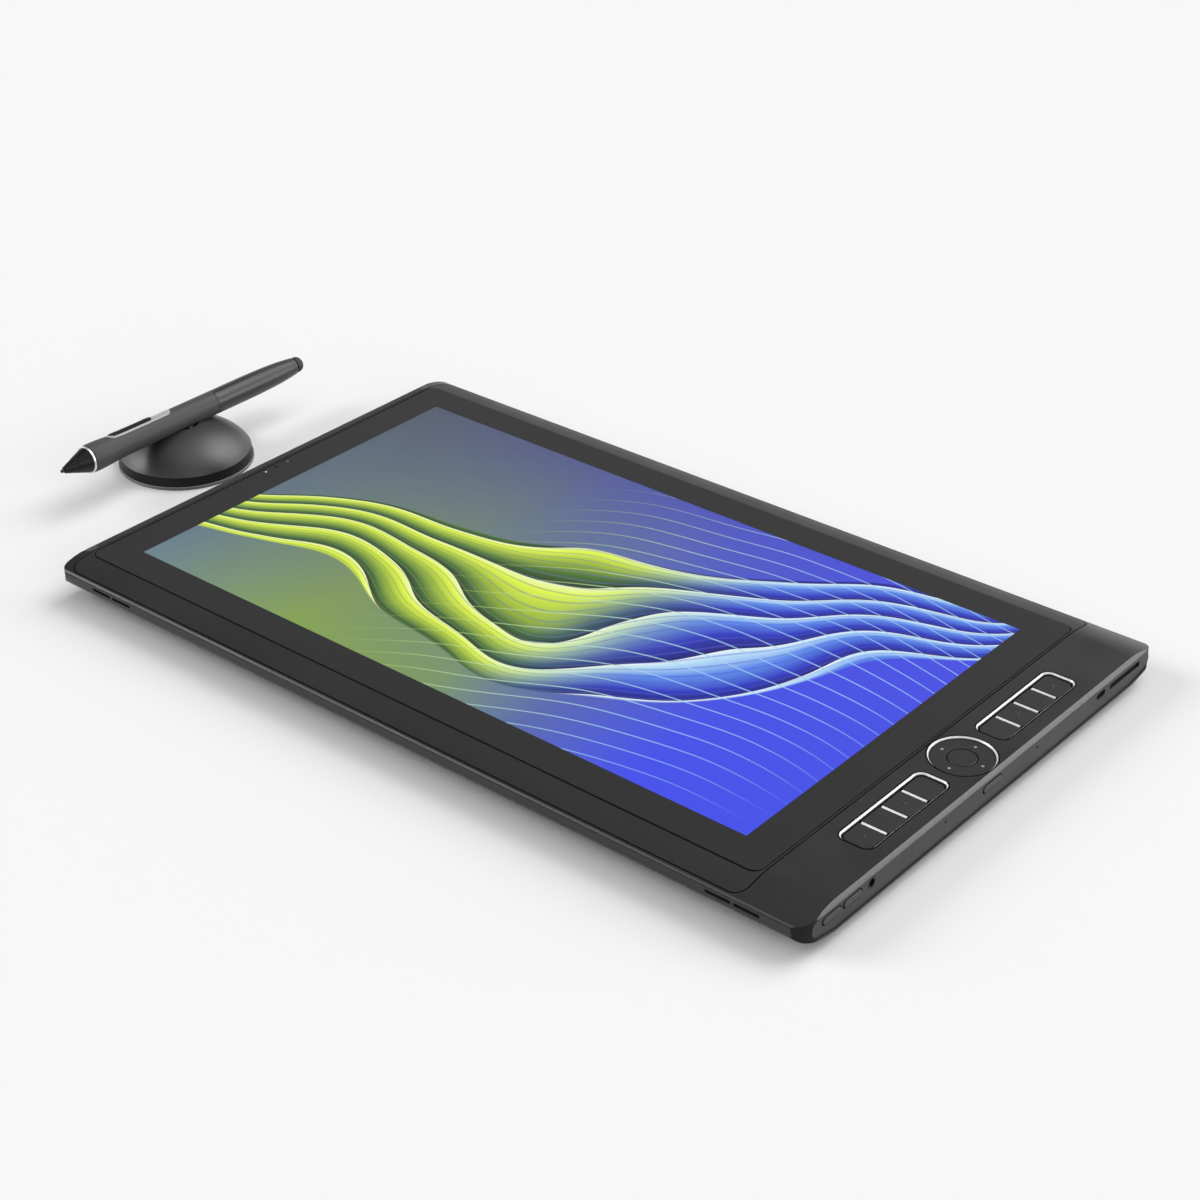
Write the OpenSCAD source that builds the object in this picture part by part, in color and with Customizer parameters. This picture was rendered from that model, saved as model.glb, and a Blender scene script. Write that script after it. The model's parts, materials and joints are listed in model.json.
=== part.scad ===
// Graphics tablet with a built-in screen, its pressure pen and the pen's round stand.
// Millimetres, +Z up, standing on z = 0. The origin is the middle of the set's footprint.
// The tablet's long side runs along X, with the key strip at the +X end.

/* [Screen] */
// Width of the picture area
screen_w = 345.4; // [300:0.2:400]
// Depth of the picture area
screen_h = 194.3; // [170:0.1:230]
// Cover glass beyond the picture at the two ends
glass_border_x = 17.3; // [14:0.1:24]
// Cover glass beyond the picture along the long sides
glass_border_y = 16.1; // [12:0.1:24]
// Thickness of the cover glass
glass_t = 1; // [0.7:0.1:1.6]
// Corner radius of the cover glass
glass_corner_r = 4.5; // [2:0.5:8]
// Thickness of the display panel
panel_t = 2.8; // [2:0.1:3.6]
// Display panel frame beyond the picture
panel_border = 4; // [2:0.5:6]
// Thickness of the pen sensor board
sensor_t = 0.9; // [0.6:0.1:1.4]
// Thickness of the stiffening plate behind the display
chassis_t = 1; // [0.8:0.1:1.5]

/* [Tablet body] */
// Height from the desk to the top of the glass
tablet_h = 19; // [18:0.1:22]
// Bezel seen beside the glass at the two ends
bezel_land_x = 1.2; // [0.8:0.1:3]
// Bezel seen beside the glass along the long sides
bezel_land_y = 12; // [8:0.1:16]
// Corner radius of the bezel
bezel_corner_r = 5.5; // [3:0.5:9]
// Top housing left of the bezel
left_rim = 4.8; // [4:0.1:8]
// Key strip right of the bezel
strip_w = 31; // [29:0.1:40]
// Top housing outside the bezel along the long sides
long_rim = 2.2; // [2:0.1:4]
// Width of the drooping shoulder along the long sides
shoulder_w = 20.5; // [16:0.5:24]
// Radius of the shoulder's arc
shoulder_r = 55; // [50:1:90]
// Radius of the upper edge along the long sides
edge_r = 2.2; // [1.8:0.1:3]
// Radius of the lower edge along the long sides
under_r = 4; // [3:0.1:5]
// Height of the centre of the lower edge's arc
under_z = 11.8; // [11:0.1:12.4]
// Slope of the underside towards the long sides, in degrees
under_angle = 10; // [9:0.5:13]
// Radius of the body's left corners seen from above
body_corner_r = 5; // [4:0.5:7]
// Radius of the key strip's corners seen from above
end_corner_r = 9; // [7:0.5:10]
// Radius of the upper left edge
left_edge_r = 1.2; // [0.6:0.1:1.5]
// Width of the bright chamfer at the key strip's end
band_w = 1.1; // [0.6:0.1:1.6]
// Height of that chamfer
band_h = 2.2; // [1.2:0.1:2.4]
// Height of the two ends' lower edges
end_low_z = 5.2; // [4:0.1:5.6]
// Length of the slope from an end's lower edge to the flat bottom
end_slope = 24; // [18:1:30]
// Wall of the two housings
wall_t = 1.6; // [1.3:0.1:1.7]
// Height of the joint between the two housings
split_z = 8.8; // [8.4:0.1:9]
// Height of the rubber feet
foot_h = 1; // [0.8:0.1:1.5]
// Length of a rubber foot
foot_l = 44; // [30:1:50]
// Width of a rubber foot
foot_w = 9; // [6:0.5:12]
// Depth of a foot's pocket in the rear cover
foot_pocket = 0.6; // [0.4:0.1:0.7]

/* [Key strip] */
// Distance of the keys' centre line from the bezel
key_inset = 15.2; // [14.5:0.1:18]
// Width of a key group over its bright bevel
group_w = 15.6; // [14:0.1:17]
// Length of a key group over its bright bevel
group_l = 56.8; // [50:0.1:58]
// Distance of a key group's middle from the ring's middle
group_y = 47.6; // [46:0.1:52]
// Corner radius of a key group
group_corner_r = 4; // [2.8:0.1:5]
// Width and depth of the bright bevel
bevel = 0.95; // [0.6:0.05:1.1]
// Width of the bar between two keys
bar_w = 1; // [0.8:0.1:1.2]
// Length of the bar's bright ridge
ridge_l = 11.5; // [9:0.1:11.8]
// Depth of the keys' faces below the strip
key_drop = 0.9; // [0.7:0.05:1]
// Gap round a key
key_gap = 0.25; // [0.2:0.05:0.3]
// Travel of a key
key_travel = 0.5; // [0.3:0.05:0.55]
// Outer radius of the touch ring's bright bevel
ring_r = 14.1; // [13:0.1:14.3]
// Radius of the button in the ring's middle
ring_button_r = 6.2; // [5:0.1:7]
// Distance of the ring's lights from its middle
light_place_r = 9.6; // [9:0.1:10.2]
// Radius of one light
light_r = 0.65; // [0.5:0.05:0.8]
// Radius of a raised dot on a key
dot_r = 0.8; // [0.5:0.1:1]
// Thickness of the key board
board_t = 1.2; // [1:0.1:1.4]

/* [End plate] */
// Thickness of the end plate
plate_t = 1.6; // [1.2:0.1:2]
// Depth of the end plate's face behind the housing
plate_recess = 0.5; // [0.3:0.1:0.8]
// Height of the row of ports and buttons
port_z = 13; // [12.6:0.1:13.4]
// Place along Y of the power button
power_y = -1.4; // [-6:0.1:4]
// Length of the power button
power_l = 13; // [10:0.1:15]
// Place along Y of the volume buttons' middle
volume_y = -103.4; // [-105:0.1:-101]
// Length of a volume button
volume_l = 11.4; // [9:0.1:11.8]
// Distance between the middles of the volume buttons
volume_pitch = 13.2; // [12.9:0.1:14]
// Width of the buttons in the end plate
side_button_w = 3; // [2.4:0.1:3.2]
// Travel of the buttons in the end plate
side_travel = 0.4; // [0.25:0.05:0.5]
// Place along Y of the headset jack
jack_y = -84.4; // [-86:0.1:-84]
// Radius of the headset jack's bore
jack_r = 1.8; // [1.78:0.01:1.9]
// Depth of the headset jack's bore
jack_depth = 13; // [11:0.5:14]
// Place along Y of the card slot's middle
card_y = 102; // [100:0.1:104]
// Width of the card slot
card_w = 24.6; // [23:0.1:25]
// Height of the card slot
card_h = 2.5; // [2.2:0.1:2.8]
// Depth of the card slot
card_depth = 20; // [16:0.5:22]
// Place along Y of the lock slot
lock_y = 82.4; // [82:0.1:84]
// Length of the lock slot
lock_l = 7; // [6:0.1:7]
// Height of the lock slot
lock_h = 3; // [2.4:0.1:3.2]
// Distance of the two microphones from the power button
mic_pitch = 33.3; // [20:0.1:40]
// Radius of a microphone's hole
mic_r = 0.6; // [0.4:0.1:0.8]

/* [Sides] */
// Length of a speaker slot
speaker_slot_l = 12.2; // [9:0.1:13]
// Height of a speaker slot
speaker_slot_h = 1.4; // [1:0.1:1.8]
// Distance between the slots of a speaker
speaker_slot_pitch = 13.4; // [13.2:0.1:15]
// Height of the speaker slots
speaker_slot_z = 12.8; // [12:0.1:13]
// Distance of the left speaker's middle from the body's left end
speaker_left_in = 35.4; // [32:0.1:60]
// Distance of the right speaker's middle from the body's right end
speaker_right_in = 33.2; // [32:0.1:60]
// Width of a data port's opening
usb_w = 9; // [8.6:0.1:9.4]
// Height of a data port's opening
usb_h = 3.2; // [2.8:0.1:3.4]
// Height of the data ports
usb_z = 11.3; // [11:0.1:11.5]
// Distance between two data ports
usb_pitch = 24; // [16:0.5:30]

/* [Inside] */
// Height of the main board's underside
board_z = 5; // [4:0.1:5.6]
// Length of the main board
board_l = 174; // [150:1:180]
// Width of the main board
board_w = 126; // [100:1:128]
// Length of a battery cell
cell_l = 44; // [36:0.5:45]
// Width of a battery cell
cell_w = 70; // [50:1:72]
// Thickness of a battery cell
cell_t = 6.5; // [5:0.1:7]
// Side of a fan's housing
fan_side = 56; // [50:0.5:58]
// Height of a fan's housing
fan_h = 8; // [6.5:0.1:8.4]
// Radius of a fan's rotor
rotor_r = 23; // [18:0.5:24]
// Blades of a fan's rotor
rotor_blades = 15; // [9:1:21]
// Radius of a post that carries the stiffening plate
post_r = 3; // [2.4:0.1:3.2]
// Radius of a cover screw's thread
screw_r = 1.1; // [0.8:0.05:1.3]

/* [Pen] */
// Length of the pen
pen_l = 159; // [150:1:170]
// Greatest radius of the grip
flare_r = 7.15; // [7:0.05:7.6]
// Radius of the grip's rear end
grip_r = 6.15; // [5.9:0.05:6.4]
// Place of the grip's greatest radius, from the nib's tip
flare_s = 20.5; // [19:0.5:24]
// Length over which the grip narrows
flare_l = 12; // [10:0.2:16]
// Nib standing out of the front cone
nib_out = 2.2; // [1.6:0.1:3]
// Radius of the nib
nib_r = 0.85; // [0.7:0.05:0.95]
// Travel of the nib
nib_travel = 0.4; // [0.2:0.05:0.6]
// Place of the front cone's rear end, from the nib's tip
cone_end_s = 15.7; // [15:0.1:17]
// Radius of the front cone's mouth
cone_mouth_r = 1.6; // [1.4:0.1:2]
// Radius of the bright ring
pen_ring_r = 6.85; // [6.6:0.05:7]
// Length of the bright ring
pen_ring_l = 1; // [0.6:0.1:1.6]
// Place of the grip's rear end, from the nib's tip
grip_end_s = 97; // [94:1:106]
// Length of the eraser outside the barrel
eraser_l = 5.6; // [4:0.1:7]
// Radius of the eraser
eraser_r = 4.1; // [3.4:0.1:4.2]
// Travel of the eraser
eraser_travel = 0.8; // [0.4:0.1:1.2]
// Radius of the barrel's rear end
barrel_end_r = 4.4; // [4.3:0.1:5]
// Length of the switch plate
switch_plate_l = 40; // [36:1:44]
// Width of the switch plate
switch_plate_w = 6.6; // [6:0.1:7.2]
// Place of the switch plate's middle, from the nib's tip
switch_s = 50; // [48:0.5:56]
// Length of the side switch
switch_l = 26; // [22:0.5:28]
// Width of the side switch
switch_w = 4.2; // [3.6:0.1:4.4]
// Height of the side switch over its plate
switch_proud = 0.35; // [0.2:0.05:0.8]
// Distance of the side switch's middle in front of the plate's middle
switch_forward = 5; // [3:0.5:6]
// Rocking of the side switch to either side, in degrees
switch_angle = 2.5; // [1:0.1:3]
// Turn of the pen about its own length, in degrees
pen_roll = 12; // [0:1:30]
// Radius of the sensor core inside the pen
core_r = 2.6; // [2:0.1:2.7]

/* [Pen stand] */
// Gap between the tablet's left end and the stand
stand_gap = 26.8; // [20:0.5:60]
// Radius of the stand's rubber foot
stand_r = 34; // [30:0.5:38]
// Height of the stand's base
base_h = 6; // [5:0.1:8]
// Radius of the dome's lower edge
dome_r = 33; // [30:0.5:33.4]
// Height of the dome's top over the desk
dome_top = 21; // [19:0.5:23]
// Lean of the dome's lower edge, in degrees from upright
dome_lean = 20; // [10:1:30]
// Height of the pen's axis over the desk
pen_z = 24; // [22:0.1:26]
// Distance of the stand's middle from the tablet's middle line
stand_y = 1.2; // [-20:0.1:20]
// Distance of the pen's nib from the stand's middle
nib_reach = 77.3; // [74:0.1:82]
// Thickness of the stand's rubber foot
stand_foot_t = 1.6; // [1:0.1:2]
// Radius of the upright pen socket in the dome
socket_r = 4.4; // [4:0.1:4.8]
// Depth of the upright pen socket
socket_depth = 8; // [5:0.5:8]
// Radius of the socket's flared mouth
mouth_r = 8.2; // [7:0.1:9]
// Depth of the socket's flared mouth
mouth_depth = 5; // [3:0.5:6]
// Spare nibs kept in the base
spare_nibs = 6; // [3:1:10]

/* [Hidden] */
$fn = 64;

// Fits
fit = 0.1;          // gap round a seated piece
seam_gap = 0.5;     // visible joint round the bezel and round the glass
slide_gap = 0.15;   // gap round a sliding piece
rest_gap = 0.1;     // gap between a sprung piece and its stop
eps = 0.02;         // overlap of two bodies of one piece

// Plan of the tablet, from the middle of the picture
glass_w = screen_w + 2 * glass_border_x;
glass_d = screen_h + 2 * glass_border_y;
bezel_w = glass_w + 2 * bezel_land_x;
bezel_d = glass_d + 2 * bezel_land_y;
body_left = -bezel_w / 2 - left_rim;
body_right = bezel_w / 2 + strip_w;
body_half = bezel_d / 2 + long_rim;
reach = body_half / 2;    // cutters run this far past what they cut
body_l = body_right - body_left;
strip_x = bezel_w / 2 + key_inset;

// Place of the tablet and of the stand in the set
stand_left = body_left - stand_gap - 2 * stand_r;
screen_x = -(stand_left + body_right) / 2;
stand_x = screen_x + body_left - stand_gap - stand_r;

// Heights in the tablet
glass_z = tablet_h - glass_t;
panel_z = glass_z - panel_t;
sensor_z = panel_z - sensor_t;
chassis_z = sensor_z - chassis_t;
floor_z = foot_h + wall_t;
ceiling_z = tablet_h - wall_t;

// Section of the body across its depth
shoulder_y = body_half - shoulder_w;
shoulder_cz = tablet_h - shoulder_r;
min_r = 0.3;

function edge_at(t) = max(edge_r - t, min_r);
function edge_cy(t) = body_half - t - edge_at(t);
function edge_cz(t) = shoulder_cz
    + sqrt(pow(shoulder_r - t - edge_at(t), 2) - pow(edge_cy(t) - shoulder_y, 2));
function arc_end(t) = (shoulder_r - t) / (shoulder_r - t - edge_at(t));
function arc_end_y(t) = shoulder_y + (edge_cy(t) - shoulder_y) * arc_end(t);
function arc_end_z(t) = shoulder_cz + (edge_cz(t) - shoulder_cz) * arc_end(t);
function under_at(t) = max(under_r - t, min_r);
function slope_top_y(t) = body_half - t - under_at(t) + under_at(t) * sin(under_angle);
function slope_top_z(t) = under_z - under_at(t) * cos(under_angle);
function belly_y(t) = slope_top_y(t) - (slope_top_z(t) - foot_h - t) / tan(under_angle);

// Section of the body along its length
end_angle = atan((end_low_z - foot_h) / end_slope);
function end_low(t) = end_low_z - t * tan(end_angle) + t / cos(end_angle);
function end_flat(t) = end_slope + t * (1 / cos(end_angle) - 1) / tan(end_angle);

belly_left = body_left + end_flat(wall_t);
belly_right = body_right - end_flat(wall_t);
belly_half = belly_y(wall_t);

// A point of the underside's slope, measured at a given distance from the middle line
function slope_z(y) = foot_h + max(0, (abs(y) - belly_y(0)) * tan(under_angle));

// Key strip
group_keys = 4;
trim_flange = 1;
trim_flange_t = 1;
trim_z = ceiling_z - trim_flange_t;
well_w = group_w - 2 * bevel;
well_l = group_l - 2 * bevel;
well_r = group_corner_r - bevel;
key_pitch = well_l / group_keys;
key_top = tablet_h - key_drop;
key_flange = 0.4;
key_flange_t = 0.7;
key_flange_z = trim_z - rest_gap - key_flange_t;
plunger_r = 1.2;
plunger_l = 0.7;
dome_h = 0.7;
dome_r2 = 2.6;
board_gap = 0.1;
key_board_z = key_flange_z - plunger_l - key_travel - board_gap - dome_h;
board_side = 9;
board_end = 5.2;
key_board_half = group_y + group_l / 2 + board_end;
boss_r = 1.6;
boss_in = 1.8;
boss_x = 6.5;
ring_hole_r = ring_r - bevel;
dot_h = 0.25;
ridge_drop = 0.35;

// End plate
plate_x = body_right - plate_recess;
plate_back = plate_x - plate_t;
plate_margin = 1.1;
plate_gap = 0.25;
plate_lift = 0.8;
plate_low = end_low_z + plate_lift;
plate_top = tablet_h - band_h - plate_gap;
plate_round_in = 0.6;
plate_round_y = body_half - end_corner_r - plate_round_in;
plate_round_low = slope_z(plate_round_y) + plate_margin / cos(under_angle);
button_proud = 0.35;
button_flange = 0.8;
button_flange_t = 0.7;
switch_h = 1;
switch_side = 3;
switch_board_t = 1;
switch_x = plate_back - rest_gap - button_flange_t - side_travel - rest_gap - switch_h;
arm_w = 1.2;
arm_z = (side_button_w + button_flange) / 2 + slide_gap;
jack_trim_r = 2.6;
jack_side = 5.4;
jack_more = 1.5;
card_wall = 0.7;
lock_plate_t = 1.2;
lock_margin = 1.6;
mic_body_r = 1.9;
mic_body_t = 1.2;

// Inside
layout_gap = 4;
cell_gap = 1.5;
cell_count = 3;
cell_x = belly_left + layout_gap;
cell_y = -belly_half + layout_gap;
pack_right = cell_x + cell_count * cell_l + (cell_count - 1) * cell_gap;
post_row_y = cell_y + cell_w + layout_gap + post_r;
fan_y = post_row_y + post_r + layout_gap + fan_side / 2;
fan_gap = 10;
fan_xs = [cell_x + fan_side / 2, cell_x + 1.5 * fan_side + fan_gap];
fan_wall = 1.2;
rotor_gap = 1.2;
hub_r = 9;
axle_r = 1.5;
axle_gap = 0.08;
rotor_lift = 0.6;
blade_t = 1;
intake_r = 17;
fin_d = 9;
fin_t = 0.8;
fin_pitch = 3.5;
fin_h = 6.6;
pipe_w = 8;
pipe_t = 1.6;
board_x = pack_right + 3 * layout_gap;
board_y = -belly_half + 6 * layout_gap;
chip_w = 30;
chip_d = 24;
chip_t = 1.4;
chip_in = 60;
chip_x = board_x + chip_in;
chip_y = board_y + board_w / 2;
spreader_w = 40;
pipe_z = floor_z + fin_h;
fin_y = fan_y + fan_side / 2 + fit;
pipe_y = fin_y + fin_d / 2;
storage_l = 80;
storage_w = 22;
storage_t = 2.2;
storage_in = 6;
standoff_r = 2;
standoff_in = 5;
board_posts = [
    for (x = [standoff_in, board_l - standoff_in], y = [standoff_in, board_w - standoff_in])
        [board_x + x, board_y + y]
];
post_out = layout_gap + post_r;
foot_in_x = 30;
foot_in_y = 11;
foot_places = [
    for (x = [belly_left + foot_in_x, belly_right - foot_in_x], y = [-1, 1])
        [x, y * (belly_half - foot_in_y)]
];
post_foot_gap = 14;
post_right = belly_right - foot_in_x - foot_l / 2 - post_foot_gap;
posts = [
    [cell_x + fan_side / 2, post_row_y],
    [pack_right - cell_l / 2, post_row_y],
    [(board_x + post_right) / 2, board_y - post_out],
    [post_right, board_y - post_out],
    [(board_x + post_right) / 2, board_y + board_w + post_out],
    [post_right, board_y + board_w + post_out]
];
screw_head_r = 2.2;
screw_head_t = 0.8;
screw_fit = 0.05;
screw_l = 7;
chassis_in = 4.2;
vent_w = 2.4;
vent_l = 9;
vent_pitch = 5;
vent_half = 5;
vent_y = belly_y(0) + 4;
intake_w = 2.4;
intake_pitch = 5;
speaker_l = 32;
speaker_d = 17;
speaker_in = 4;
speaker_t = 3.4;
speaker_slots_left = body_left + speaker_left_in;
speaker_slots_right = body_right - speaker_right_in;
usb_wall = 0.35;
usb_depth = 8;
usb_back = 0.6;
usb_tongue_t = 0.7;
usb_board_t = 1;
usb_board_l = 15;
usb_board_more = 9;
usb_rib = 3;
usb_count = 3;
camera_in = 2.6;
camera_w = 3.6;
camera_l = 19;
camera_pitch = 7.2;
lens_r = 1.5;

// Pen, measured along its length from the nib's tip
pen_ring_s = cone_end_s;
grip_s = cone_end_s + pen_ring_l;
barrel_end_s = pen_l - eraser_l;
barrel_power = 4.5;
joint_groove = 0.4;
barrel_s = grip_end_s + joint_groove;
cone_seam_s = (nib_out + cone_end_s) / 2;
cone_seam = 0.15;
pen_bore_r = core_r + fit;
cone_bore_r = nib_r + slide_gap;
spigot_l = 6;
nib_seat_s = cone_end_s + spigot_l;
core_s = nib_seat_s + nib_travel + rest_gap;
core_end_in = 22;
core_end_s = barrel_end_s - core_end_in;
cone_wall = 1.3;
grip_lip = 1.2;
grip_steps = 24;
barrel_steps = 18;
plate_proud = 0.25;
plate_depth = 1;
switch_gap = 0.3;
switch_depth = 1.6;
switch_room = switch_depth + switch_l / 2 * sin(switch_angle) + 2 * rest_gap;
eraser_lip = 0.9;
eraser_round = 0.75;
eraser_stem_r = eraser_r - eraser_lip;
eraser_stem_l = 14;

cone_rear_r = pen_ring_r - pen_ring_l / 2;

function cone_at(s) = cone_mouth_r
    + (cone_rear_r - cone_mouth_r) * (s - nib_out) / (cone_end_s - nib_out);
function grip_at(s) = grip_r + (flare_r - grip_r) * exp(-pow((s - flare_s) / flare_l, 2));
function barrel_at(s) = grip_r
    - (grip_r - barrel_end_r) * pow((s - grip_end_s) / (barrel_end_s - grip_end_s), barrel_power);

// Pen stand
base_z = stand_foot_t;
base_floor = 2;
dome_wall = 2;
dome_gap = 0.25;
saddle_gap = 0.35;
saddle_r = grip_at(nib_reach - dome_r / 2) + saddle_gap;
dome_z = base_h + dome_gap;
dome_steps = 16;
collar_h = 2.4;
hub_top = dome_z + collar_h + rest_gap;
nib_hole_r = nib_r + fit;
nib_ring_r = 20;
nib_rack_r = 24;
nib_rack_h = 4.6;
spare_l = 7;
pivot_r = 2.5;
pivot_gap = 0.1;
base_in = 0.3;
dome_a = dome_r / cos(dome_lean);
dome_b = (dome_top - dome_z) / (1 - sin(dome_lean));
dome_cz = dome_top - dome_b;

// Points of the dome's elliptical section, drawn inside its wall by t, from its edge to its top
function dome_edge(t) = asin((dome_z - dome_cz) / (dome_b - t));
function dome_turn(i, t) = dome_edge(t) + i * (90 - dome_edge(t)) / dome_steps;
function dome_at(i, t) = [
    (dome_a - t) * cos(dome_turn(i, t)),
    dome_cz + (dome_b - t) * sin(dome_turn(i, t))
];

// Frames of reference
module in_tablet() {
    translate([screen_x, 0, 0])
        children();
}

module in_stand() {
    translate([stand_x, stand_y, 0])
        children();
}

// Along the pen: z runs from the nib's tip to the eraser, y points up
module along_pen() {
    translate([stand_x, stand_y - nib_reach, pen_z])
        rotate([90, 0, 180])
            rotate([0, 0, -pen_roll])
                children();
}

// Shared outlines
module rounded_rect(w, d, r) {
    square([w - 2 * r, d], center = true);
    square([w, d - 2 * r], center = true);
    for (x = [-1, 1], y = [-1, 1])
        translate([x * (w / 2 - r), y * (d / 2 - r)])
            circle(r);
}

module rounded_slab(w, d, r, h) {
    linear_extrude(h)
        rounded_rect(w, d, r);
}

module pill(l, w) {
    square([l - w, w], center = true);
    for (x = [-1, 1])
        translate([x * (l - w) / 2, 0])
            circle(w / 2);
}

// Section across the body, drawn inside its walls by t: flat top, shoulders, edges and belly
module section_half(t) {
    polygon([
        [-eps, foot_h + t],
        [belly_y(t), foot_h + t],
        [slope_top_y(t), slope_top_z(t)],
        [body_half - t - under_at(t), under_z],
        [body_half - t, under_z],
        [body_half - t, edge_cz(t)],
        [edge_cy(t), edge_cz(t)],
        [arc_end_y(t), arc_end_z(t)],
        [shoulder_y, tablet_h - t],
        [-eps, tablet_h - t]
    ]);
    translate([edge_cy(t), edge_cz(t)])
        circle(edge_at(t));
    translate([body_half - t - under_at(t), under_z])
        circle(under_at(t));
    intersection() {
        translate([shoulder_y, shoulder_cz])
            circle(shoulder_r - t, $fn = 360);
        translate([shoulder_y, under_z])
            square([arc_end_y(t) - shoulder_y, tablet_h]);
    }
}

module section_across(t) {
    section_half(t);
    mirror([1, 0])
        section_half(t);
}

// Section along the body: round left edge, chamfered right end, sloping ends below
module section_along(t) {
    left_r = max(left_edge_r - t, min_r);
    polygon([
        [body_left + end_flat(t), foot_h + t],
        [body_right - end_flat(t), foot_h + t],
        [body_right - t, end_low(t)],
        [body_right - t, tablet_h - band_h],
        [body_right - band_w - t, tablet_h],
        [body_right - band_w - t, tablet_h + eps],
        [body_left + t + left_r, tablet_h + eps],
        [body_left + t + left_r, tablet_h - t - left_r],
        [body_left + t, tablet_h - t - left_r],
        [body_left + t, end_low(t)]
    ]);
    translate([body_left + t + left_r, tablet_h - t - left_r])
        circle(left_r);
}

// Plan of the body, drawn inside its walls by t
module body_plan(t) {
    left_r = body_corner_r - t;
    right_r = end_corner_r - t;
    half = body_half - t;
    translate([body_left + body_corner_r, -half])
        square([body_l - body_corner_r - end_corner_r, 2 * half]);
    translate([body_left + t, -half + left_r])
        square([left_r + eps, 2 * (half - left_r)]);
    translate([body_right - end_corner_r - eps, -half + right_r])
        square([right_r + eps, 2 * (half - right_r)]);
    for (y = [-1, 1]) {
        translate([body_left + body_corner_r, y * (half - left_r)])
            circle(left_r);
        translate([body_right - end_corner_r, y * (half - right_r)])
            circle(right_r);
    }
}

// The tablet's whole outer form, or the hollow inside walls of thickness t
module body_form(t) {
    intersection() {
        translate([body_left - eps, 0, 0])
            rotate([90, 0, 90])
                linear_extrude(body_l + 2 * eps)
                    section_across(t);
        translate([0, body_half + eps, 0])
            rotate([90, 0, 0])
                linear_extrude(2 * (body_half + eps))
                    section_along(t);
        linear_extrude(tablet_h + eps)
            body_plan(t);
    }
}

module below(z) {
    translate([body_left - reach, -body_half - reach, z - reach])
        cube([body_l + 2 * reach, 2 * (body_half + reach), reach]);
}

module above(z) {
    translate([0, 0, reach])
        below(z);
}

// Outline of the end plate: the body's own section, cut off above and below, with round ends
module end_plate_outline(gap) {
    intersection() {
        section_across(plate_margin - gap);
        translate([-plate_round_y, plate_low - gap])
            square([2 * plate_round_y, plate_top - plate_low + 2 * gap]);
    }
    for (y = [-1, 1])
        translate([y * plate_round_y, (plate_top + plate_round_low) / 2])
            circle((plate_top - plate_round_low) / 2 + gap);
}

module along_end(x, l) {
    translate([x, 0, 0])
        rotate([90, 0, 90])
            linear_extrude(l)
                children();
}

// Housings
module rear_cover() {
    color("#38383a")
        in_tablet()
            difference() {
                union() {
                    intersection() {
                        difference() {
                            body_form(0);
                            body_form(wall_t);
                        }
                        below(split_z);
                    }
                    cover_posts();
                }
                along_end(body_right - wall_t - plate_recess - fit, reach)
                    end_plate_outline(fit);
                cover_holes();
            }
}

module cover_posts() {
    for (p = posts)
        translate([p[0], p[1], foot_h])
            cylinder(r = post_r, h = chassis_z - foot_h);
    for (p = board_posts)
        translate([p[0], p[1], foot_h])
            cylinder(r = standoff_r, h = board_z - foot_h);
    intersection() {
        body_form(0);
        for (y = [-1, 1])
            translate([body_left, y * usb_pitch * usb_count / 2 - usb_rib / 2, 0])
                cube([usb_board_l, usb_rib, usb_z - usb_h / 2 - usb_wall - usb_board_t]);
    }
}

module cover_holes() {
    for (p = posts)
        translate([p[0], p[1], 0]) {
            cylinder(r = screw_r + screw_fit, h = foot_h + screw_l + screw_fit);
            cylinder(r = screw_head_r + fit, h = foot_h + screw_head_t);
        }
    for (p = foot_places)
        translate([p[0], p[1], 0])
            linear_extrude(foot_h + foot_pocket)
                pill(foot_l + 2 * fit, foot_w + 2 * fit);
    for (x = fan_xs) {
        translate([x, fan_y, 0])
            linear_extrude(floor_z + eps)
                intakes();
        for (i = [-vent_half : vent_half])
            translate([x + i * vent_pitch - vent_w / 2, vent_y, 0])
                cube([vent_w, vent_l, split_z]);
    }
}

module intakes() {
    rows = floor((intake_r - intake_w / 2) / intake_pitch);
    for (i = [-rows : rows])
        translate([0, i * intake_pitch])
            pill(2 * sqrt(pow(intake_r, 2) - pow(i * intake_pitch, 2)), intake_w);
}

module top_housing() {
    color("#3f3f40")
        in_tablet()
            difference() {
                union() {
                    difference() {
                        intersection() {
                            body_form(0);
                            above(split_z);
                        }
                        translate([0, 0, split_z - eps])
                            rounded_slab(bezel_w + 2 * seam_gap, bezel_d + 2 * seam_gap,
                                bezel_corner_r + seam_gap, tablet_h);
                        strip_hollow();
                        port_hollow();
                    }
                    board_bosses();
                }
                along_end(body_right - wall_t - plate_recess - fit, reach)
                    end_plate_outline(fit);
                strip_wells();
                side_openings();
            }
}

// Room under the key strip, open towards the display below the bezel
module strip_hollow() {
    door_half = body_half - speaker_in + slide_gap;
    intersection() {
        body_form(wall_t);
        translate([bezel_w / 2 + wall_t, -body_half, split_z - eps])
            cube([strip_w, 2 * body_half, tablet_h]);
    }
    translate([bezel_w / 2 - bezel_corner_r, -door_half, split_z - eps])
        cube([bezel_corner_r + wall_t + eps, 2 * door_half, sensor_z - split_z]);
}

// Room behind the left wall for the data ports
module port_hollow() {
    half = usb_pitch * usb_count / 2 + usb_board_more / 2 + fit;
    translate([body_left + wall_t, -half, split_z - eps])
        cube([left_rim, 2 * half, sensor_z - split_z]);
}

module board_bosses() {
    for (x = [-1, 1], y = [-1, 1])
        translate([strip_x + x * boss_x, y * (key_board_half - boss_in), key_board_z])
            cylinder(r = boss_r, h = ceiling_z - key_board_z + eps);
}

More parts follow.
